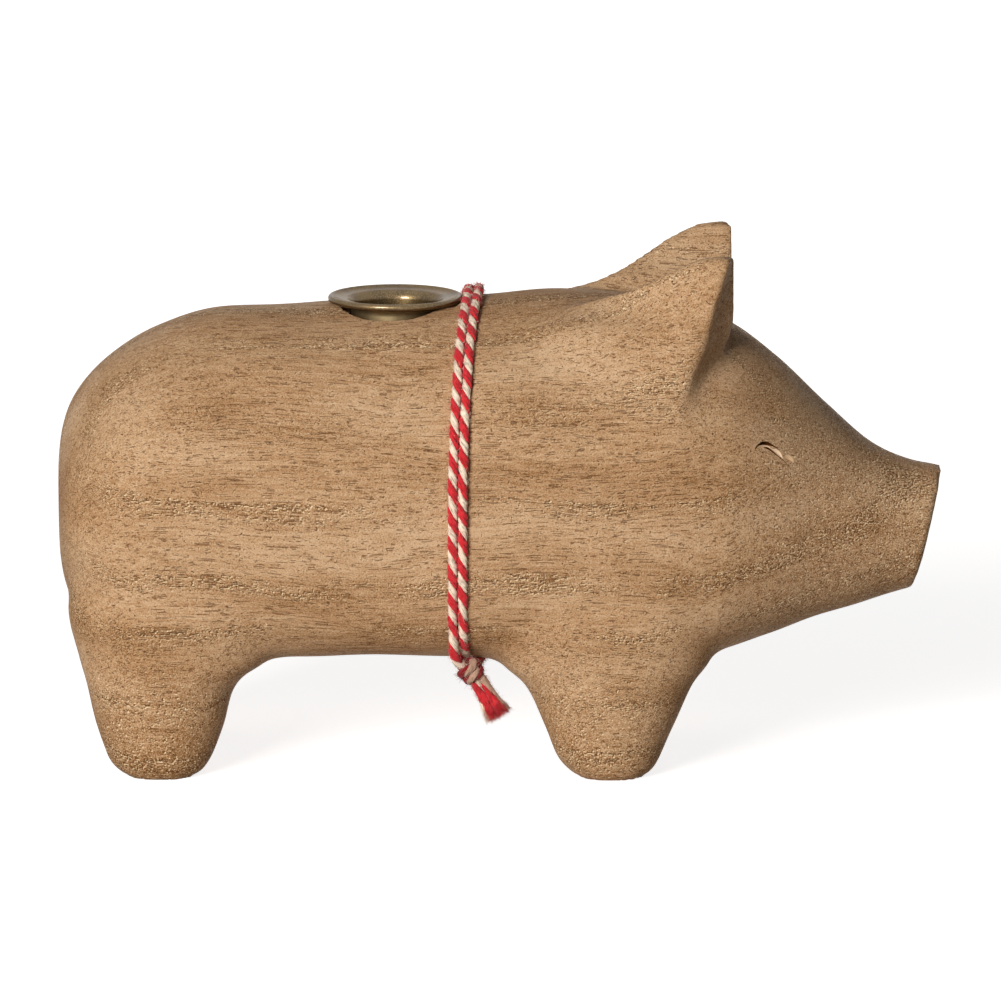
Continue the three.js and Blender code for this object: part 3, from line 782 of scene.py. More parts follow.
def winding_line(s, turns):
    """The cord's middle when it has made so many turns from the knot, and the way out of the
    wood: a level that moves one pitch a turn, bowed forward over the ridge by
    yaw (sqrt(y^2 + r^2) - r) from the flanks."""
    full = s.cord_turns
    pitch = s.cord_diameter + s.turn_gap
    rim = s.flange_diameter / 2
    at_ridge = ((s.knot_angle - TURN / 4) / TURN) % 1
    middle = s.cup_x + rim + s.cord_to_rim + s.cord_diameter / 2 + pitch * (1 - at_ridge)
    angles = s.knot_angle - turns * TURN
    level = middle + (turns - full / 2) * pitch
    flat, _ = on_trunk(s, level, angles)
    bow = np.hypot(flat[:, 1], s.cord_bow) - s.cord_bow
    return on_trunk(s, level - s.cord_yaw * bow, angles)


def knot_middle(s):
    """The knot's middle, standing off the wood under the turns."""
    seat, outward = winding_line(s, np.array([s.cord_turns / 2]))
    lift = 2 * s.cord_gap + s.cord_diameter + s.turn_gap + s.knot_thickness / 2
    return seat[0] + outward[0] * lift + np.array([s.knot_shift, 0, 0])


def winding_path(s):
    """The winding's middle line from the knot's heart, round the body and back into it, and
    the way out of the wood along it."""
    steps_a_turn, bedded = 240, 0.05
    turns = np.linspace(0, s.cord_turns, steps_a_turn * s.cord_turns + 1)
    here, outward = winding_line(s, turns)
    to_end = np.minimum(turns, s.cord_turns - turns) / s.knot_lead
    lift = np.maximum(0, 1 - to_end) * (s.cord_diameter + s.knot_thickness / 2)
    rest = s.twist_radius - bedded
    path = here + outward * (rest + lift)[:, None]
    middle = knot_middle(s)
    reach = np.array([s.knot_length, s.knot_thickness, s.knot_length]) / 2
    away = np.linalg.norm((path - middle) / (reach + s.cord_diameter), axis=1)
    near_end = np.minimum(turns, s.cord_turns - turns) < 2 * s.knot_lead
    kept = ~near_end | (away > 1)
    path, outward = path[kept], outward[kept]
    bend = middle + np.array([-2.9, -0.5, 1.7])
    path = np.vstack([middle, bend, path, middle])
    outward = np.vstack([outward[0], outward[0], outward, outward[-1]])
    return path, outward


def evenly(path, other, step):
    """A path and the vectors along it, read again at even steps of length."""
    gaps = np.linalg.norm(np.diff(path, axis=0), axis=1)
    run = np.append(0, np.cumsum(gaps))
    count = int(run[-1] / step) + 1
    even = np.linspace(0, run[-1], count)
    shares = np.interp(even, run, np.linspace(0, 1, len(path)))
    return curve_through(path, shares), curve_through(other, shares), even


def path_frame(path, outward):
    """Unit vectors across a path: outwards, squared up to the path, and sideways."""
    heading = np.gradient(path, axis=0)
    heading /= np.linalg.norm(heading, axis=1, keepdims=True)
    out = outward - heading * (outward * heading).sum(1, keepdims=True)
    out /= np.linalg.norm(out, axis=1, keepdims=True)
    return heading, out, np.cross(heading, out)


def ply_grid(s, path, outward, turn, sides, thick):
    """One of the cord's two plies: an oval section beside the path's middle, wound about it
    by an angle for each step.

    A point is path + arm (c + a thick cos) + cross b thick sin, where the arm points to the
    ply's middle. The plies sink into each other and leave a groove between them. Thick is a
    share for each step, or for each step and side.
    """
    heading, out, aside = path_frame(path, outward)
    arm = np.cos(turn)[:, None] * out + np.sin(turn)[:, None] * aside
    cross = np.cross(heading, arm)
    angles = np.arange(sides) / sides * TURN
    power = 2 / 2.3
    off_middle, breadth = 0.44, 0.9
    deep = s.twist_radius * (off_middle + (1 - off_middle) * thick * boxed(np.cos(angles), power))
    wide = s.twist_radius * breadth * thick * boxed(np.sin(angles), power)
    return path[:, None] + arm[:, None] * deep[..., None] + cross[:, None] * wide[..., None]


def lumps(run, sides, rng):
    """Uneven thickness of a spun ply: two slow waves along it and a fine felted roughness."""
    first, second = rng.uniform(0, TURN, 2)
    slow = 1 + 0.06 * np.sin(run / 1.9 + first) + 0.05 * np.sin(run / 0.83 + second)
    return slow[:, None] + rng.normal(0, 0.045, (len(run), sides))


def grid_uv(rows, around):
    """Face corners' places on a closed loft: along its length, and round it, 0 to 1.

    The rows follow closed_loft: quads row by row, then the two end fans.
    """
    here = np.arange(around) / around
    there = here + 1 / around
    low = (np.arange(rows - 1) / (rows - 1))[:, None] + 0 * here
    high = low + 1 / (rows - 1)
    around_low = here + 0 * low
    around_high = there + 0 * low
    quads = np.stack([
        np.stack([low, around_low], -1), np.stack([low, around_high], -1),
        np.stack([high, around_high], -1), np.stack([high, around_low], -1),
    ], axis=2).reshape(-1, 2)
    start = np.stack([
        np.column_stack([0 * here, there]), np.column_stack([0 * here, here]),
        np.column_stack([0 * here, here]),
    ], axis=1).reshape(-1, 2)
    end = np.stack([
        np.column_stack([0 * here + 1, here]), np.column_stack([0 * here + 1, there]),
        np.column_stack([0 * here + 1, here]),
    ], axis=1).reshape(-1, 2)
    return np.vstack([quads, start, end])


def fibre_tubes(lines, side, normals):
    """Thin three-sided tubes along rows of points, tapering to their ends."""
    t = np.linspace(0, 1, lines.shape[1])[None, :, None, None]
    angles = np.arange(3) / 3 * TURN
    ring = (
        np.cos(angles)[None, None, :, None] * side[:, None, None]
        + np.sin(angles)[None, None, :, None] * normals[:, None, None]
    )
    taper = 0.7
    return lines[:, :, None] + ring * FIBRE * (1 - taper * t)


def fuzz_fibres(base, normals, heading, rng):
    """Loose fibres that leave the cord's surface and curl over along it.

    Each middle line is base + length (rise t normal + (lean t + curl t^2) heading
    + sway t^2 side), with its own rise, lean, curl and sway.
    """
    count = len(base)
    t = np.linspace(0, 1, 3)[None, :, None]
    side = np.cross(normals, heading)
    reach = rng.uniform(0.5, 1.7, (count, 1, 1))
    lean = rng.uniform(-0.9, 0.9, (count, 1, 1))
    curl = rng.uniform(-0.8, 0.8, (count, 1, 1))
    rise = rng.uniform(0.3, 0.9, (count, 1, 1))
    sway = rng.uniform(-0.6, 0.6, (count, 1, 1))
    lines = base[:, None] + reach * (
        rise * t * normals[:, None]
        + (lean * t + curl * t**2) * heading[:, None]
        + sway * t**2 * side[:, None]
    )
    return fibre_tubes(lines, side, normals)


def brush_fibres(base, normals, heading, rng):
    """Fibres of a cut end that run on along the cord and spread.

    Each middle line is base + length (t heading + spread t^2 normal + sway t^2 side).
    """
    count = len(base)
    t = np.linspace(0, 1, 4)[None, :, None]
    side = np.cross(normals, heading)
    reach = rng.uniform(0.8, 2.4, (count, 1, 1))
    spread = rng.uniform(-0.2, 0.6, (count, 1, 1))
    sway = rng.uniform(-0.45, 0.45, (count, 1, 1))
    lines = base[:, None] + reach * (
        t * heading[:, None] + spread * t**2 * normals[:, None] + sway * t**2 * side[:, None]
    )
    return fibre_tubes(lines, side, normals)


def many_lofts(grids):
    """Points and faces of many small tubes of one size, closed at both ends."""
    count = len(grids)
    _, faces = closed_loft(grids[0])
    ends = np.stack([grids[:, 0].mean(1), grids[:, -1].mean(1)], axis=1)
    points = np.concatenate([grids.reshape(count, -1, 3), ends], axis=1)
    each = points.shape[1]
    quads = np.array([f for f in faces if len(f) == 4])
    fans = np.array([f for f in faces if len(f) == 3])
    starts = (np.arange(count) * each)[:, None, None]
    all_faces = (starts + quads).reshape(-1, 4).tolist() + (starts + fans).reshape(-1, 3).tolist()
    return points.reshape(-1, 3), all_faces


def feed(tree, socket, value):
    """Links another node's output to a socket, or sets the socket's own value."""
    if isinstance(value, bpy.types.NodeSocket):
        tree.links.new(value, socket)
    else:
        socket.default_value = value


def feed_all(tree, sockets, values):
    """The same for several sockets, given by name or number."""
    for name, value in values.items():
        feed(tree, sockets[name], value)


def node(tree, kind, inputs=None, **settings):
    """Adds a shader node: settings are its properties, and inputs maps sockets to values or
    to other nodes' outputs."""
    made = tree.nodes.new(kind)
    for name, value in settings.items():
        setattr(made, name, value)
    feed_all(tree, made.inputs, inputs or {})
    return made


def maths(tree, operation, *values):
    """A Math node's result."""
    return node(tree, "ShaderNodeMath", dict(enumerate(values)), operation=operation).outputs[0]


def vector_maths(tree, operation, *values):
    """A Vector Math node's vector."""
    made = node(tree, "ShaderNodeVectorMath", dict(enumerate(values)), operation=operation)
    return made.outputs["Vector"]


def fade(tree, value, low, high, to_low=0.0, to_high=1.0):
    """A smooth change from one value to another as the input goes from low to high."""
    sockets = {"Value": value, "From Min": low, "From Max": high, "To Min": to_low, "To Max": to_high}
    made = node(tree, "ShaderNodeMapRange", sockets, interpolation_type="SMOOTHSTEP")
    return made.outputs["Result"]


def noise(tree, place, scale, detail=2.0, roughness=0.5):
    """A Noise texture's value."""
    sockets = {"Vector": place, "Scale": scale, "Detail": detail, "Roughness": roughness}
    return node(tree, "ShaderNodeTexNoise", sockets).outputs[0]


def blend_colour(tree, part, first, second):
    """A colour part of the way from the first to the second."""
    ends = [
        tone if isinstance(tone, bpy.types.NodeSocket) else (*tone, 1) for tone in (first, second)
    ]
    sockets = {0: part, 6: ends[0], 7: ends[1]}
    return node(tree, "ShaderNodeMix", sockets, data_type="RGBA").outputs[2]


def new_group(name, inputs, outputs):
    """A shader node group with named sockets, and its input and output nodes."""
    tree = bpy.data.node_groups.new(name, "ShaderNodeTree")
    for label, kind in inputs:
        tree.interface.new_socket(name=label, in_out="INPUT", socket_type=kind)
    for label, kind in outputs:
        tree.interface.new_socket(name=label, in_out="OUTPUT", socket_type=kind)
    start = tree.nodes.new("NodeGroupInput")
    end = tree.nodes.new("NodeGroupOutput")
    return tree, start.outputs, end.inputs


def use_group(tree, group, **inputs):
    """Places a node group in a material and gives its outputs."""
    made = tree.nodes.new("ShaderNodeGroup")
    made.node_tree = group
    feed_all(tree, made.inputs, inputs)
    return made.outputs


def new_material(name):
    """A material with only its Principled BSDF and output, and the BSDF's sockets."""
    made = bpy.data.materials.new(name)
    made.use_nodes = True
    tree = made.node_tree
    return made, tree, tree.nodes["Principled BSDF"].inputs


def bumped(tree, height, strength, millimetres):
    """A normal bent by a height field."""
    sockets = {"Height": height, "Strength": strength, "Distance": millimetres * MM}
    return node(tree, "ShaderNodeBump", sockets).outputs["Normal"]


def brushed_grain():
    """Solid wood grain in the block that the pig is carved from, running along x.

    Growth rings are cylinders round a pith line beside the block. Open pores are long cells
    along the grain, more and wider in each ring's porous band, so that they show as streaks
    on the flanks and as pits where the grain is cut across. A painted highlight is given as a
    pale rim on the lower right of each pit, where the key lamp's light falls, and painted shade
    darkens the wood towards the floor.
    """
    tree, given, result = new_group(
        "brushed_grain",
        [("Place", "NodeSocketVector")],
        [
            ("Shade", "NodeSocketFloat"),
            ("Pore", "NodeSocketFloat"),
            ("Painted glint", "NodeSocketFloat"),
            ("Height", "NodeSocketFloat"),
        ],
    )
    pith = (0, -65, 110)
    ring_width = 16.5
    place = vector_maths(tree, "MULTIPLY", given["Place"], (1000, 1000, 1000))
    slow = vector_maths(tree, "MULTIPLY", place, (0.010, 0.022, 0.022))
    sway = node(tree, "ShaderNodeTexNoise", {"Vector": slow, "Scale": 1.0, "Detail": 2.0})
    centred = vector_maths(tree, "SUBTRACT", sway.outputs["Color"], (0.5, 0.5, 0.5))
    bent = vector_maths(tree, "MULTIPLY_ADD", centred, (0, 16, 16), place)

    crosswise = vector_maths(tree, "MULTIPLY", bent, (0, 1, 1))
    from_pith = vector_maths(tree, "SUBTRACT", crosswise, pith)
    radius = node(tree, "ShaderNodeVectorMath", {0: from_pith}, operation="LENGTH").outputs["Value"]
    uneven = node(
        tree, "ShaderNodeTexNoise", {"W": maths(tree, "MULTIPLY", radius, 0.09), "Scale": 1.0},
        noise_dimensions="1D",
    ).outputs[0]
    rings = maths(tree, "ADD", maths(tree, "DIVIDE", radius, ring_width), uneven)
    phase = maths(tree, "FRACT", rings)
    after_band = fade(tree, phase, 0.0, 0.42, 1.0, 0.0)
    band = maths(tree, "MAXIMUM", after_band, fade(tree, phase, 0.9, 1.0))

    def streaks(along, across, detail, at=bent):
        return noise(tree, vector_maths(tree, "MULTIPLY", at, (along, across, across)), 1.0, detail)

    patchy = streaks(0.03, 0.10, 2.0)
    open_grain = maths(tree, "MULTIPLY", band, fade(tree, patchy, 0.3, 0.62, 0.1, 1.0))

    along_x, _, up_z = node(tree, "ShaderNodeSeparateXYZ", {0: place}).outputs
    on_head = fade(tree, along_x, 52, 92)
    on_feet = fade(tree, up_z, 15, 42, 0.8, 0.0)
    cut_across = maths(tree, "MAXIMUM", on_head, on_feet)
    rough = maths(tree, "MAXIMUM", cut_across, open_grain)

    def pits_at(where):
        """Long cells along the grain, and rounder beads in the open bands and on the head."""
        cells = maths(tree, "MULTIPLY_ADD", open_grain, 0.075, streaks(0.55, 2.8, 2.0, where))
        beads = maths(tree, "MULTIPLY_ADD", open_grain, 0.085, streaks(1.5, 1.9, 1.0, where))
        beads = maths(tree, "MULTIPLY_ADD", cut_across, 0.04, maths(tree, "SUBTRACT", beads, 0.065))
        cells = maths(tree, "SUBTRACT", cells, 0.05)
        return maths(tree, "MAXIMUM", cells, beads)

    pit_field = pits_at(bent)
    pits = fade(tree, pit_field, 0.62, 0.69)
    deep = fade(tree, pit_field, 0.65, 0.72)
    line_field = maths(tree, "MULTIPLY_ADD", open_grain, 0.04, streaks(0.075, 3.2, 1.0))
    broken = fade(tree, streaks(0.5, 0.6, 1.0), 0.44, 0.54)
    dashes = maths(tree, "MULTIPLY", fade(tree, line_field, 0.595, 0.66), broken)
    pore = maths(tree, "MAXIMUM", maths(tree, "MULTIPLY", dashes, 0.75), deep)

    fibre = streaks(0.06, 1.3, 4.0)
    speckle = streaks(2.6, 3.4, 2.0)
    blotch = streaks(0.018, 0.06, 2.0)

    shade = maths(tree, "MULTIPLY_ADD", fibre, 0.9, -0.45)
    strength = maths(tree, "ADD", rough, 1.5)
    spread = maths(tree, "MULTIPLY", maths(tree, "SUBTRACT", speckle, 0.5), strength)
    shade = maths(tree, "ADD", shade, spread)
    shade = maths(tree, "MULTIPLY_ADD", blotch, 0.9, maths(tree, "SUBTRACT", shade, 0.45))
    shade = maths(tree, "MULTIPLY_ADD", open_grain, -0.12, maths(tree, "ADD", shade, 0.6))
    # painted shade: the wood made darker towards the floor, below 45 mm
    shade = maths(tree, "SUBTRACT", shade, fade(tree, up_z, 10, 45, 0.14, 0.0))
    tree.links.new(shade, result["Shade"])
    tree.links.new(pore, result["Pore"])

    # painted highlight: the pit field moved up and back, so that a pale rim lies on the lower right of
    # each pit, the wall that the key lamp lights
    lit_field = pits_at(vector_maths(tree, "ADD", bent, (-0.26, 0.0, 0.28)))
    outside = fade(tree, pit_field, 0.59, 0.65, 1.0, 0.0)
    painted_highlight_mask = maths(tree, "MULTIPLY", fade(tree, lit_field, 0.61, 0.68), outside)
    tree.links.new(maths(tree, "MULTIPLY", painted_highlight_mask, fade(tree, rough, 0.1, 0.7, 0.3, 1.0)), result["Painted glint"])

    relief = maths(tree, "MULTIPLY_ADD", rough, 0.16, 0.14)
    height = maths(tree, "MULTIPLY_ADD", fibre, 0.15, maths(tree, "MULTIPLY", speckle, relief))
    height = maths(tree, "MULTIPLY_ADD", dashes, -0.3, height)
    tree.links.new(maths(tree, "MULTIPLY_ADD", pits, -0.4, height), result["Height"])
    return tree


def stained_wood(body, grain):
    """Brushed wood with a brown stain: paler on the ridges, dark in the pores, half matt, with painted
    highlights on the pits' lit rims and painted shade towards the floor.
    """
    made, tree, shader = new_material("stained_wood")
    place = node(tree, "ShaderNodeTexCoord").outputs["Object"]
    wood = use_group(tree, grain, Place=place)
    low = blend_colour(tree, fade(tree, wood["Shade"], 0.1, 0.55), body.stain_dark, body.stain_middle)
    tone = blend_colour(tree, fade(tree, wood["Shade"], 0.5, 0.95), low, body.stain_light)
    pitted = blend_colour(tree, maths(tree, "MULTIPLY", wood["Pore"], 0.8), tone, body.pore)
    # painted highlight blended over the wood on the lit rims of the pits
    colour_out = blend_colour(tree, maths(tree, "MULTIPLY", wood["Painted glint"], 0.75), pitted, body.painted_glint)
    feed_all(tree, shader, {
        "Base Color": colour_out,
        "Roughness": fade(tree, wood["Shade"], 0.2, 0.9, 0.62, 0.42),
        "Normal": bumped(tree, wood["Height"], 1.0, 0.6),
        "Specular IOR Level": 0.03,
    })
    return made


def fresh_wood(name, grain, dark, pale):
    """Wood that the knife left bare or half bare in the eyes."""
    made, tree, shader = new_material(name)
    place = node(tree, "ShaderNodeTexCoord").outputs["Object"]
    wood = use_group(tree, grain, Place=place)
    tone = blend_colour(tree, fade(tree, wood["Shade"], 0.0, 0.5), dark, pale)
    feed_all(tree, shader, {
        "Base Color": tone,
        "Roughness": 0.7,
        "Normal": bumped(tree, wood["Height"], 0.3, 0.2),
    })
    return made


def painted_slit_shade(body):
    """Painted shade: a dark sheet for the walls and floors of the eyes' two slits, three quarters of
    the pore colour.
    """
    made, tree, shader = new_material("painted_slit_shade")
    dark = (*[0.75 * value for value in body.pore], 1)
    feed_all(tree, shader, {"Base Color": dark, "Roughness": 0.7, "Specular IOR Level": 0.03})
    return made


def aged_brass(cup):
    """Lacquered antique brass: a fine grainy sheen, and painted light that makes the neck under the
    flange paler."""
    made, tree, shader = new_material("aged_brass")
    place = node(tree, "ShaderNodeTexCoord").outputs["Object"]
    cloud = noise(tree, place, 160.0, 3.0)
    speck = node(tree, "ShaderNodeTexVoronoi", {"Vector": place, "Scale": 3200.0}).outputs["Distance"]
    tone = blend_colour(tree, fade(tree, cloud, 0.35, 0.7), cup.brass, cup.brass_dark)
    grainy = blend_colour(tree, fade(tree, speck, 0.1, 0.5, 0.45, 0.0), tone, cup.brass_specks_and_neck_light)
    on_neck = node(tree, "ShaderNodeAttribute", attribute_name="neck").outputs["Fac"]
    # painted light: the neck under the flange blended towards the pale brass
    neck_painted_light = blend_colour(tree, maths(tree, "MULTIPLY", on_neck, 0.55), grainy, cup.brass_specks_and_neck_light)
    feed_all(tree, shader, {
        "Base Color": neck_painted_light,
        "Metallic": 0.9,
        "Coat Weight": 0.55,
        "Coat Roughness": 0.14,
        "Specular Tint": (*cup.brass_specks_and_neck_light, 1),
        "Roughness": fade(tree, cloud, 0.3, 0.7, 0.34, 0.48),
        "Normal": bumped(tree, noise(tree, place, 2600.0, 1.0), 0.25, 0.04),
    })
    return made


def spun_fibre():
    """Fibres of a spun ply: fine streaks that wind round it, from its own length and girth."""
    tree, given, result = new_group(
        "spun_fibre",
        [("Along", "NodeSocketVector"), ("Place", "NodeSocketVector")],
        [("Streak", "NodeSocketFloat"), ("Felt", "NodeSocketFloat"), ("Height", "NodeSocketFloat")],
    )
    run, girth, _ = node(tree, "ShaderNodeSeparateXYZ", {0: given["Along"]}).outputs
    wound = maths(tree, "MULTIPLY_ADD", run, -0.06, girth)
    place = node(
        tree, "ShaderNodeCombineXYZ",
        {0: maths(tree, "MULTIPLY", run, 0.4), 1: maths(tree, "MULTIPLY", wound, 11.0)},
    ).outputs[0]
    streak = noise(tree, place, 1.0, 3.0, 0.6)
    felt = noise(tree, given["Place"], 900.0)
    tree.links.new(streak, result["Streak"])
    tree.links.new(felt, result["Felt"])
    tree.links.new(maths(tree, "MULTIPLY_ADD", felt, 0.3, streak), result["Height"])
    return tree


def yarn(name, tone, fibre):
    """One ply of soft spun yarn, matt with a faint sheen."""
    made, tree, shader = new_material(name)
    coordinates = node(tree, "ShaderNodeTexCoord").outputs
    spun = use_group(tree, fibre, Along=coordinates["UV"], Place=coordinates["Object"])
    dark = tuple(0.42 * value for value in tone)
    pale = tuple(min(1, 1.15 * value + 0.03) for value in tone)
    mixed = blend_colour(tree, fade(tree, spun["Streak"], 0.31, 0.55), dark, tone)
    lit = blend_colour(tree, fade(tree, spun["Felt"], 0.45, 0.8, 0.0, 0.6), mixed, pale)
    feed_all(tree, shader, {
        "Base Color": lit,
        "Roughness": 0.9,
        "Normal": bumped(tree, spun["Height"], 0.8, 0.2),
        "Sheen Weight": 0.2,
        "Specular IOR Level": 0.1,
    })
    return made


def shown(tree):
    """1 where the camera looks, straight or in a reflection or through glass, and else 0."""
    light = node(tree, "ShaderNodeLightPath").outputs
    mirrored = maths(tree, "MAXIMUM", light["Is Camera Ray"], light["Is Glossy Ray"])
    return maths(tree, "MAXIMUM", mirrored, light["Is Transmission Ray"])


class PIG_OT_body(bpy.types.Operator):
    """Carve the body from its trunk, legs and ears, with the cup's bore and the eyes"""

    bl_idname = "pig_holder.body"
    bl_label = "Carved body"

    def execute(self, context):
        s = all_sizes(context)
        body = context.scene.pig_holder.body
        grain = brushed_grain()
        trunk_rows, trunk_sides = 340, 240
        leg_rows, leg_sides, leg_squareness = 110, 120, 2.2
        ear_rows, ear_side_steps, ear_rounding = 140, 40, 20
        around = np.arange(trunk_sides) / trunk_sides * TURN
        leg_around = np.arange(leg_sides) / leg_sides * TURN
        leg_shares = np.linspace(0, 1, leg_rows)
        parts = [closed_loft(trunk_points(s, np.linspace(0, 1, trunk_rows)[1:], around))]
        for mirrored in (False, True):
            for stations in (rear_leg(s), front_leg(s)):
                leg = leg_points(stations, mirrored, leg_squareness, leg_shares, leg_around)
                parts.append(closed_loft(leg))
            parts.append(closed_loft(ear_points(s, mirrored, ear_rows, ear_side_steps, ear_rounding)))
        stained = stained_wood(body, grain)
        pig = new_object("carved_pig", *joined(parts), [stained])
        skin = pig.modifiers.new("skin", "REMESH")
        skin.mode = "VOXEL"
        skin.voxel_size = body.fineness
        take_modifiers(pig)

        mesh = pig.data
        quads = mesh_quads(mesh)
        edges = np.empty(len(mesh.edges) * 2, int)
        mesh.edges.foreach_get("vertices", edges)
        edges = edges.reshape(-1, 2)
        points = mesh_points(mesh)
        ears_behind, ears_ahead, ears_below = (12, 26), (70, 78), (86, 108)
        at_ears = smooth_step(*ears_behind, points[:, 0]) * smooth_step(*ears_below, points[:, 2])
        soft = at_ears * (1 - smooth_step(*ears_ahead, points[:, 0]))
        points = carved(points, quads, edges, soft, sand_rounds=3, even_rounds=16, fill_rounds=70)
        marked = tool_marks(points, point_normals(points, quads))
        sole_edge, marks_start, marks_full = 0.35, 2, 8
        worked = smooth_step(marks_start, marks_full, points[:, 2])[:, None]
        points = points + (marked - points) * worked
        points[:, 2] = np.where(points[:, 2] < sole_edge, 0, points[:, 2])
        set_mesh_points(mesh, points)

        cutters = [new_object("bore_cutter", *bore_cutter(s), [stained])]
        fresh = fresh_wood("fresh_wood", grain, body.stain_light, body.bare_wood)
        pared = fresh_wood("pared_wood", grain, body.stain_light, body.pared_wood)
        slit_shade = painted_slit_shade(body)
        for mirrored in (False, True):
            sign = -1 if mirrored else 1
            start = Vector((body.eye_x, sign * body.body_width, body.eye_height))
            hit, spot, outward, _ = pig.ray_cast(start, Vector((0, -sign, 0)))
            if not hit:
                raise RuntimeError("The eye's place misses the cheek.")
            cuts = eye_cuts(np.array(spot) / MM, np.array(outward), mirrored)
            # the two slits take the painted shade
            for shape, finish in zip(cuts, (pared, fresh, fresh, slit_shade, slit_shade)):
                cutters.append(new_object("eye_cutter", *shape, [finish]))
        for cutter in cutters:
            cut = pig.modifiers.new("cut", "BOOLEAN")
            cut.operation = "DIFFERENCE"
            cut.solver = "EXACT"
            cut.material_mode = "TRANSFER"
            cut.object = cutter
        take_modifiers(pig)
        for cutter in cutters:
            drop_object(cutter)
        pig.data.shade_smooth()
        crease = math.radians(42)
        pig.data.set_sharp_from_angle(angle=crease)
        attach(pig, "pig")
        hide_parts("pig_body")
        return {"FINISHED"}


class PIG_OT_cup(bpy.types.Operator):
    """Turn the brass cup that stands in the bore"""

    bl_idname = "pig_holder.cup"
    bl_label = "Brass cup"

    def execute(self, context):
        s = all_sizes(context)
        around = 128
        points, faces = closed_loft(lathe_points(cup_profile(s), around))
        flange = seat_height(s) + s.seat_gap
        points = points + np.array([s.cup_x, 0, flange])
        brass = aged_brass(context.scene.pig_holder.cup)
        cup = new_object("brass_cup", points, faces, [brass])
        # the neck's rows, where painted light makes the brass paler
        neck = np.zeros(len(points), np.float32)
        neck_end = FLOOR_ROWS + WALL_ROWS + NECK_ROWS
        neck[FLOOR_ROWS * around : neck_end * around] = 1
        cup.data.attributes.new("neck", "FLOAT", "POINT").data.foreach_set("value", neck)
        crease = math.radians(50)
        cup.data.set_sharp_from_angle(angle=crease)
        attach(cup, "cup")
        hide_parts("candle_cup")
        return {"FINISHED"}


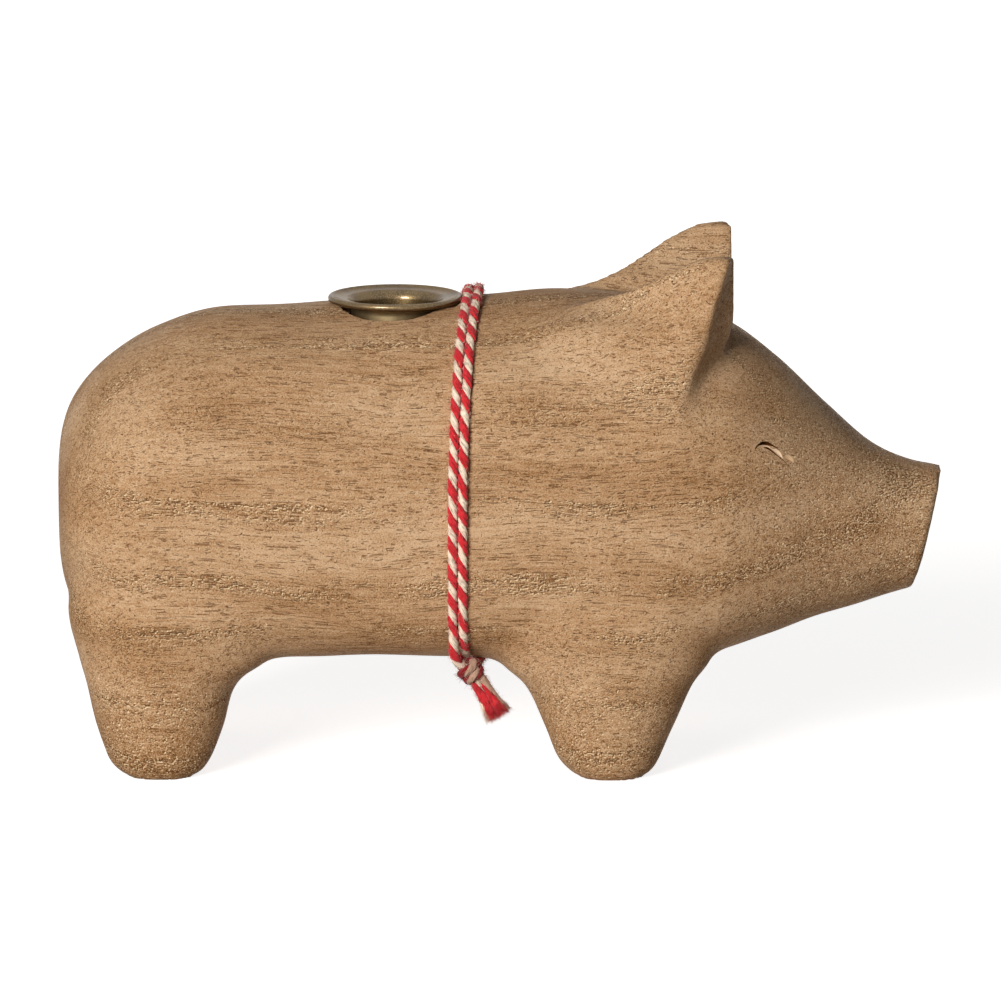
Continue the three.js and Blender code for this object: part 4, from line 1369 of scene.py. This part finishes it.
class PIG_OT_cord(bpy.types.Operator):
    """Lay the two-ply cord round the body, with its knot, its loose ends and its fuzz"""

    bl_idname = "pig_holder.cord"
    bl_label = "Tied cord"

    def execute(self, context):
        s = all_sizes(context)
        cord = context.scene.pig_holder.cord
        fibre = spun_fibre()
        yarns = [
            yarn("red_yarn", tuple(cord.red), fibre),
            yarn("natural_yarn", tuple(cord.natural), fibre),
        ]
        rng = np.random.default_rng(7)
        middle = knot_middle(s)
        wound = self.strand(s, *winding_path(s), step=0.55, rng=rng)
        self.piece("tied_cord", wound, yarns, "cord_winding", rng, fuzz=3300)
        # painted shade: the knot's plies in darker copies of the yarn colours
        shaded_yarns = [
            yarn("shaded_red_yarn", tuple(cord.knot_red_shaded), fibre),
            yarn("shaded_natural_yarn", tuple(cord.knot_natural_shaded), fibre),
        ]
        tied = self.strand(s, *self.knot(s, middle), step=0.3, rng=rng, facing=TURN / 2)
        self.piece("cord_knot_tied", tied, shaded_yarns, "cord_knot", rng, fuzz=340)
        for sign, name in ((-1, "rear"), (1, "front")):
            end = self.loose_end(s, *self.tail(s, middle, sign), sign, rng)
            # the front end's natural ply takes the darker copy: painted shade
            end_yarns = [yarns[0], shaded_yarns[1] if sign > 0 else yarns[1]]
            replaced = f"cord_end_{name}"
            self.piece(f"{replaced}_frayed", end, end_yarns, replaced, rng, fuzz=180, brush=800)
        return {"FINISHED"}

    def strand(self, s, path, outward, step, rng, facing=0):
        """The two plies of a length of cord as grids, turning once in each lay length from a
        first facing, with the cord's middle line, its headings and the length along it."""
        path, outward, run = evenly(path, outward, step)
        heading, _, _ = path_frame(path, outward)
        uneven = 0.2 * np.sin(run / 7.3) + 0.14 * np.sin(run / 2.9 + 1)
        lay = facing - TURN * run / s.lay_length + uneven
        sides = 16
        grids = [
            ply_grid(s, path, outward, lay + k * TURN / 2, sides, fuller * lumps(run, sides, rng))
            for k, fuller in enumerate((1.1, 0.95))
        ]
        return grids, path, heading, run

    def loose_end(self, s, path, outward, sign, rng):
        """The same for a loose end, whose plies come unlaid and swell towards the cut, with a
        dyed one in front on the side of the other end."""
        step, sides = 0.3, 20
        path, outward, run = evenly(path, outward, step)
        heading, _, _ = path_frame(path, outward)
        part = run / run[-1]
        facing = math.radians(30 if sign > 0 else -50)
        unlaid = facing + 0.5 * TURN * (1 - part) ** 2
        swell = (1 + 0.45 * smooth_step(0.3, 1, part))[:, None]
        grids = [
            ply_grid(s, path, outward, unlaid + k * TURN / 2, sides, swell * lumps(run, sides, rng))
            for k in range(2)
        ]
        return grids, path, heading, run

    def knot(self, s, middle):
        """An overhand knot's outside: two wraps round the line of the loose ends."""
        wraps, first_turn, wrap_radius, wrap_rise, steps = 2.2, 0.3, 2.3, 5.0, 160
        down, _ = self.hanging(s)
        out = np.array([0, -1, 0])
        side = np.cross(down, out)
        part = np.linspace(0, 1, steps)
        angles = (part * wraps + first_turn) * TURN
        radius = wrap_radius * np.sin(part * math.pi) ** 0.35
        rise = (part - 0.5) * wrap_rise
        path = (
            middle
            + rise[:, None] * down
            + (radius * np.cos(angles))[:, None] * out
            + (radius * np.sin(angles))[:, None] * side
        )
        outward = np.cos(angles)[:, None] * out + np.sin(angles)[:, None] * side
        return path, outward

    def hanging(self, s):
        """The way that the loose ends hang, and the way across them."""
        lean = s.tail_lean
        down = np.array([math.sin(lean), 0, -math.cos(lean)])
        return down, np.array([math.cos(lean), 0, math.sin(lean)])

    def tail(self, s, middle, sign):
        """A loose end's middle line, from inside the knot to its frayed tip."""
        forward, in_knot, steps = 0.6, 2.5, 40
        down, aside = self.hanging(s)
        start = middle + down * (s.knot_length / 2 + s.cord_gap)
        start = start + aside * (sign * (s.twist_radius - s.tail_gap / 2) + forward)
        run = down + aside * sign * math.tan(s.tail_spread)
        path = np.linspace(start - down * in_knot, start + run * s.tail_length, steps)
        outward = np.tile(np.array([0.0, -1.0, 0.0]), (steps, 1))
        return path, outward

    def piece(self, name, strand, yarns, replaced, rng, fuzz, brush=0):
        """The plies and their loose fibres as one piece that stands for a node. A brush puts
        fibres on the cut end of each ply."""
        grids, path, heading, run = strand
        brush_from = 0.75
        parts = [closed_loft(grid) for grid in grids]
        slots = [np.full(len(faces), k % 2) for k, (_, faces) in enumerate(parts)]
        uvs = [grid_uv(*grid.shape[:2]) * np.array([run[-1], 1]) for grid in grids]
        for k, grid in enumerate(grids):
            rows = rng.integers(1, len(path) - 1, fuzz)
            cut = rng.integers(int(brush_from * len(path)), len(path), brush)
            for picked, shape in ((rows, fuzz_fibres), (cut, brush_fibres)):
                if len(picked) == 0:
                    continue
                base = grid[picked, rng.integers(0, grid.shape[1], len(picked))]
                normals = base - path[picked]
                normals /= np.linalg.norm(normals, axis=1, keepdims=True)
                hairs = many_lofts(shape(base, normals, heading[picked], rng))
                parts.append(hairs)
                slots.append(np.full(len(hairs[1]), k % 2))
                uvs.append(np.zeros((sum(len(f) for f in hairs[1]), 2)))
        made = new_object(name, *joined(parts), yarns)
        made.data.polygons.foreach_set("material_index", np.concatenate(slots).astype(np.int32))
        layer = made.data.uv_layers.new(name="along_ply")
        layer.data.foreach_set("uv", np.vstack(uvs).astype(np.float32).ravel())
        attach(made, "pig")
        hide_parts(replaced)


class PIG_OT_stage(bpy.types.Operator):
    """Set the pale floor, the soft studio light and the camera"""

    bl_idname = "pig_holder.stage"
    bl_label = "Stage"

    def execute(self, context):
        scene = context.scene
        scene.view_settings.view_transform = "Standard"
        self.floor()
        self.light_world(scene)
        self.lamp("key", place=(-1.15, -2.6, 0.98), size=1.0, power=92)
        self.lamp("top", place=(-0.2, 0.2, 2.4), size=1.6, power=2.0)
        self.lamp("fill", place=(0.2, 2.7, 0.35), size=0.6, power=40, seen_in_gloss=False)
        self.camera(scene)
        return {"FINISHED"}

    def floor(self):
        """A wide level floor that is white to the camera where it is lit."""
        half = 6000
        corners = np.array([(-half, -half, 0), (half, -half, 0), (half, half, 0), (-half, half, 0)])
        made, tree, shader = new_material("pale_floor")
        away = node(tree, "ShaderNodeTexCoord").outputs["Object"]
        reach = node(tree, "ShaderNodeVectorMath", {0: away}, operation="LENGTH").outputs["Value"]
        near, far, near_glow = 0.1, 0.9, 0.82
        glow = fade(tree, reach, near, far, near_glow, 1.0)
        feed_all(tree, shader, {
            "Base Color": (0.62, 0.59, 0.56, 1),
            "Roughness": 1,
            "Specular IOR Level": 0,
            "Emission Color": (1, 1, 1, 1),
            "Emission Strength": maths(tree, "MULTIPLY", shown(tree), glow),
        })
        ground = new_object("floor", corners, [(0, 1, 2, 3)], [made])

    def light_world(self, scene):
        """Even room light, white where the camera or a reflection sees it."""
        world = bpy.data.worlds.new("room")
        world.use_nodes = True
        tree = world.node_tree
        room_light = 0.02
        strength = fade(tree, shown(tree), 0.0, 1.0, room_light, 1.0)
        sockets = tree.nodes["Background"].inputs
        feed_all(tree, sockets, {"Color": (1, 1, 1, 1), "Strength": strength})
        scene.world = world

    def lamp(self, name, place, size, power, seen_in_gloss=True):
        """A square soft box turned towards the middle of the object."""
        data = bpy.data.lights.new(name, "AREA")
        data.size = size
        data.energy = power
        made = bpy.data.objects.new(name, data)
        made.location = place
        made.visible_glossy = seen_in_gloss
        made.rotation_euler = (AIM - Vector(place)).to_track_quat("-Z", "Y").to_euler()
        bpy.context.scene.collection.objects.link(made)

    def camera(self, scene):
        """A long lens, level with the pig's back and a little above it."""
        azimuth, elevation = math.radians(0.5), math.radians(10)
        distance = 4.0
        frame_width = FRAME_PIXELS * PIXEL
        back = Vector((
            math.sin(azimuth) * math.cos(elevation),
            -math.cos(azimuth) * math.cos(elevation),
            math.sin(elevation),
        ))
        data = bpy.data.cameras.new("camera")
        data.sensor_width = 36
        data.lens = data.sensor_width * distance / frame_width
        data.shift_x = 1 / FRAME_PIXELS
        data.shift_y = -1 / FRAME_PIXELS
        made = bpy.data.objects.new("camera", data)
        made.location = AIM + back * distance
        made.rotation_euler = (-back).to_track_quat("-Z", "Y").to_euler()
        scene.collection.objects.link(made)
        scene.camera = made


class PIG_PT_panel(bpy.types.Panel):
    """Lists the candle holder's pieces and sizes"""

    bl_idname = "PIG_PT_panel"
    bl_label = "Pig candle holder"
    bl_space_type = "VIEW_3D"
    bl_region_type = "UI"
    bl_category = "Pig"

    def draw(self, context):
        holder = context.scene.pig_holder
        groups = (holder.body, holder.cup, holder.cord)
        for group, operator in zip(groups, (PIG_OT_body, PIG_OT_cup, PIG_OT_cord)):
            box = self.layout.box()
            for name in group.__annotations__:
                box.prop(group, name)
            box.operator(operator.bl_idname)
        self.layout.operator(PIG_OT_stage.bl_idname)


CLASSES = (
    BodySizes,
    CupSizes,
    CordSizes,
    PigSizes,
    PIG_OT_body,
    PIG_OT_cup,
    PIG_OT_cord,
    PIG_OT_stage,
    PIG_PT_panel,
)


def register():
    """Makes the classes and the scene's sizes known."""
    for each in CLASSES:
        bpy.utils.register_class(each)
    bpy.types.Scene.pig_holder = PointerProperty(type=PigSizes)


def unregister():
    """Takes them away again."""
    del bpy.types.Scene.pig_holder
    for each in reversed(CLASSES):
        bpy.utils.unregister_class(each)


def main():
    """Makes the stage and every piece."""
    register()
    bpy.ops.pig_holder.stage()
    bpy.ops.pig_holder.cord()
    bpy.ops.pig_holder.cup()
    bpy.ops.pig_holder.body()


if __name__ == "__main__":
    main()
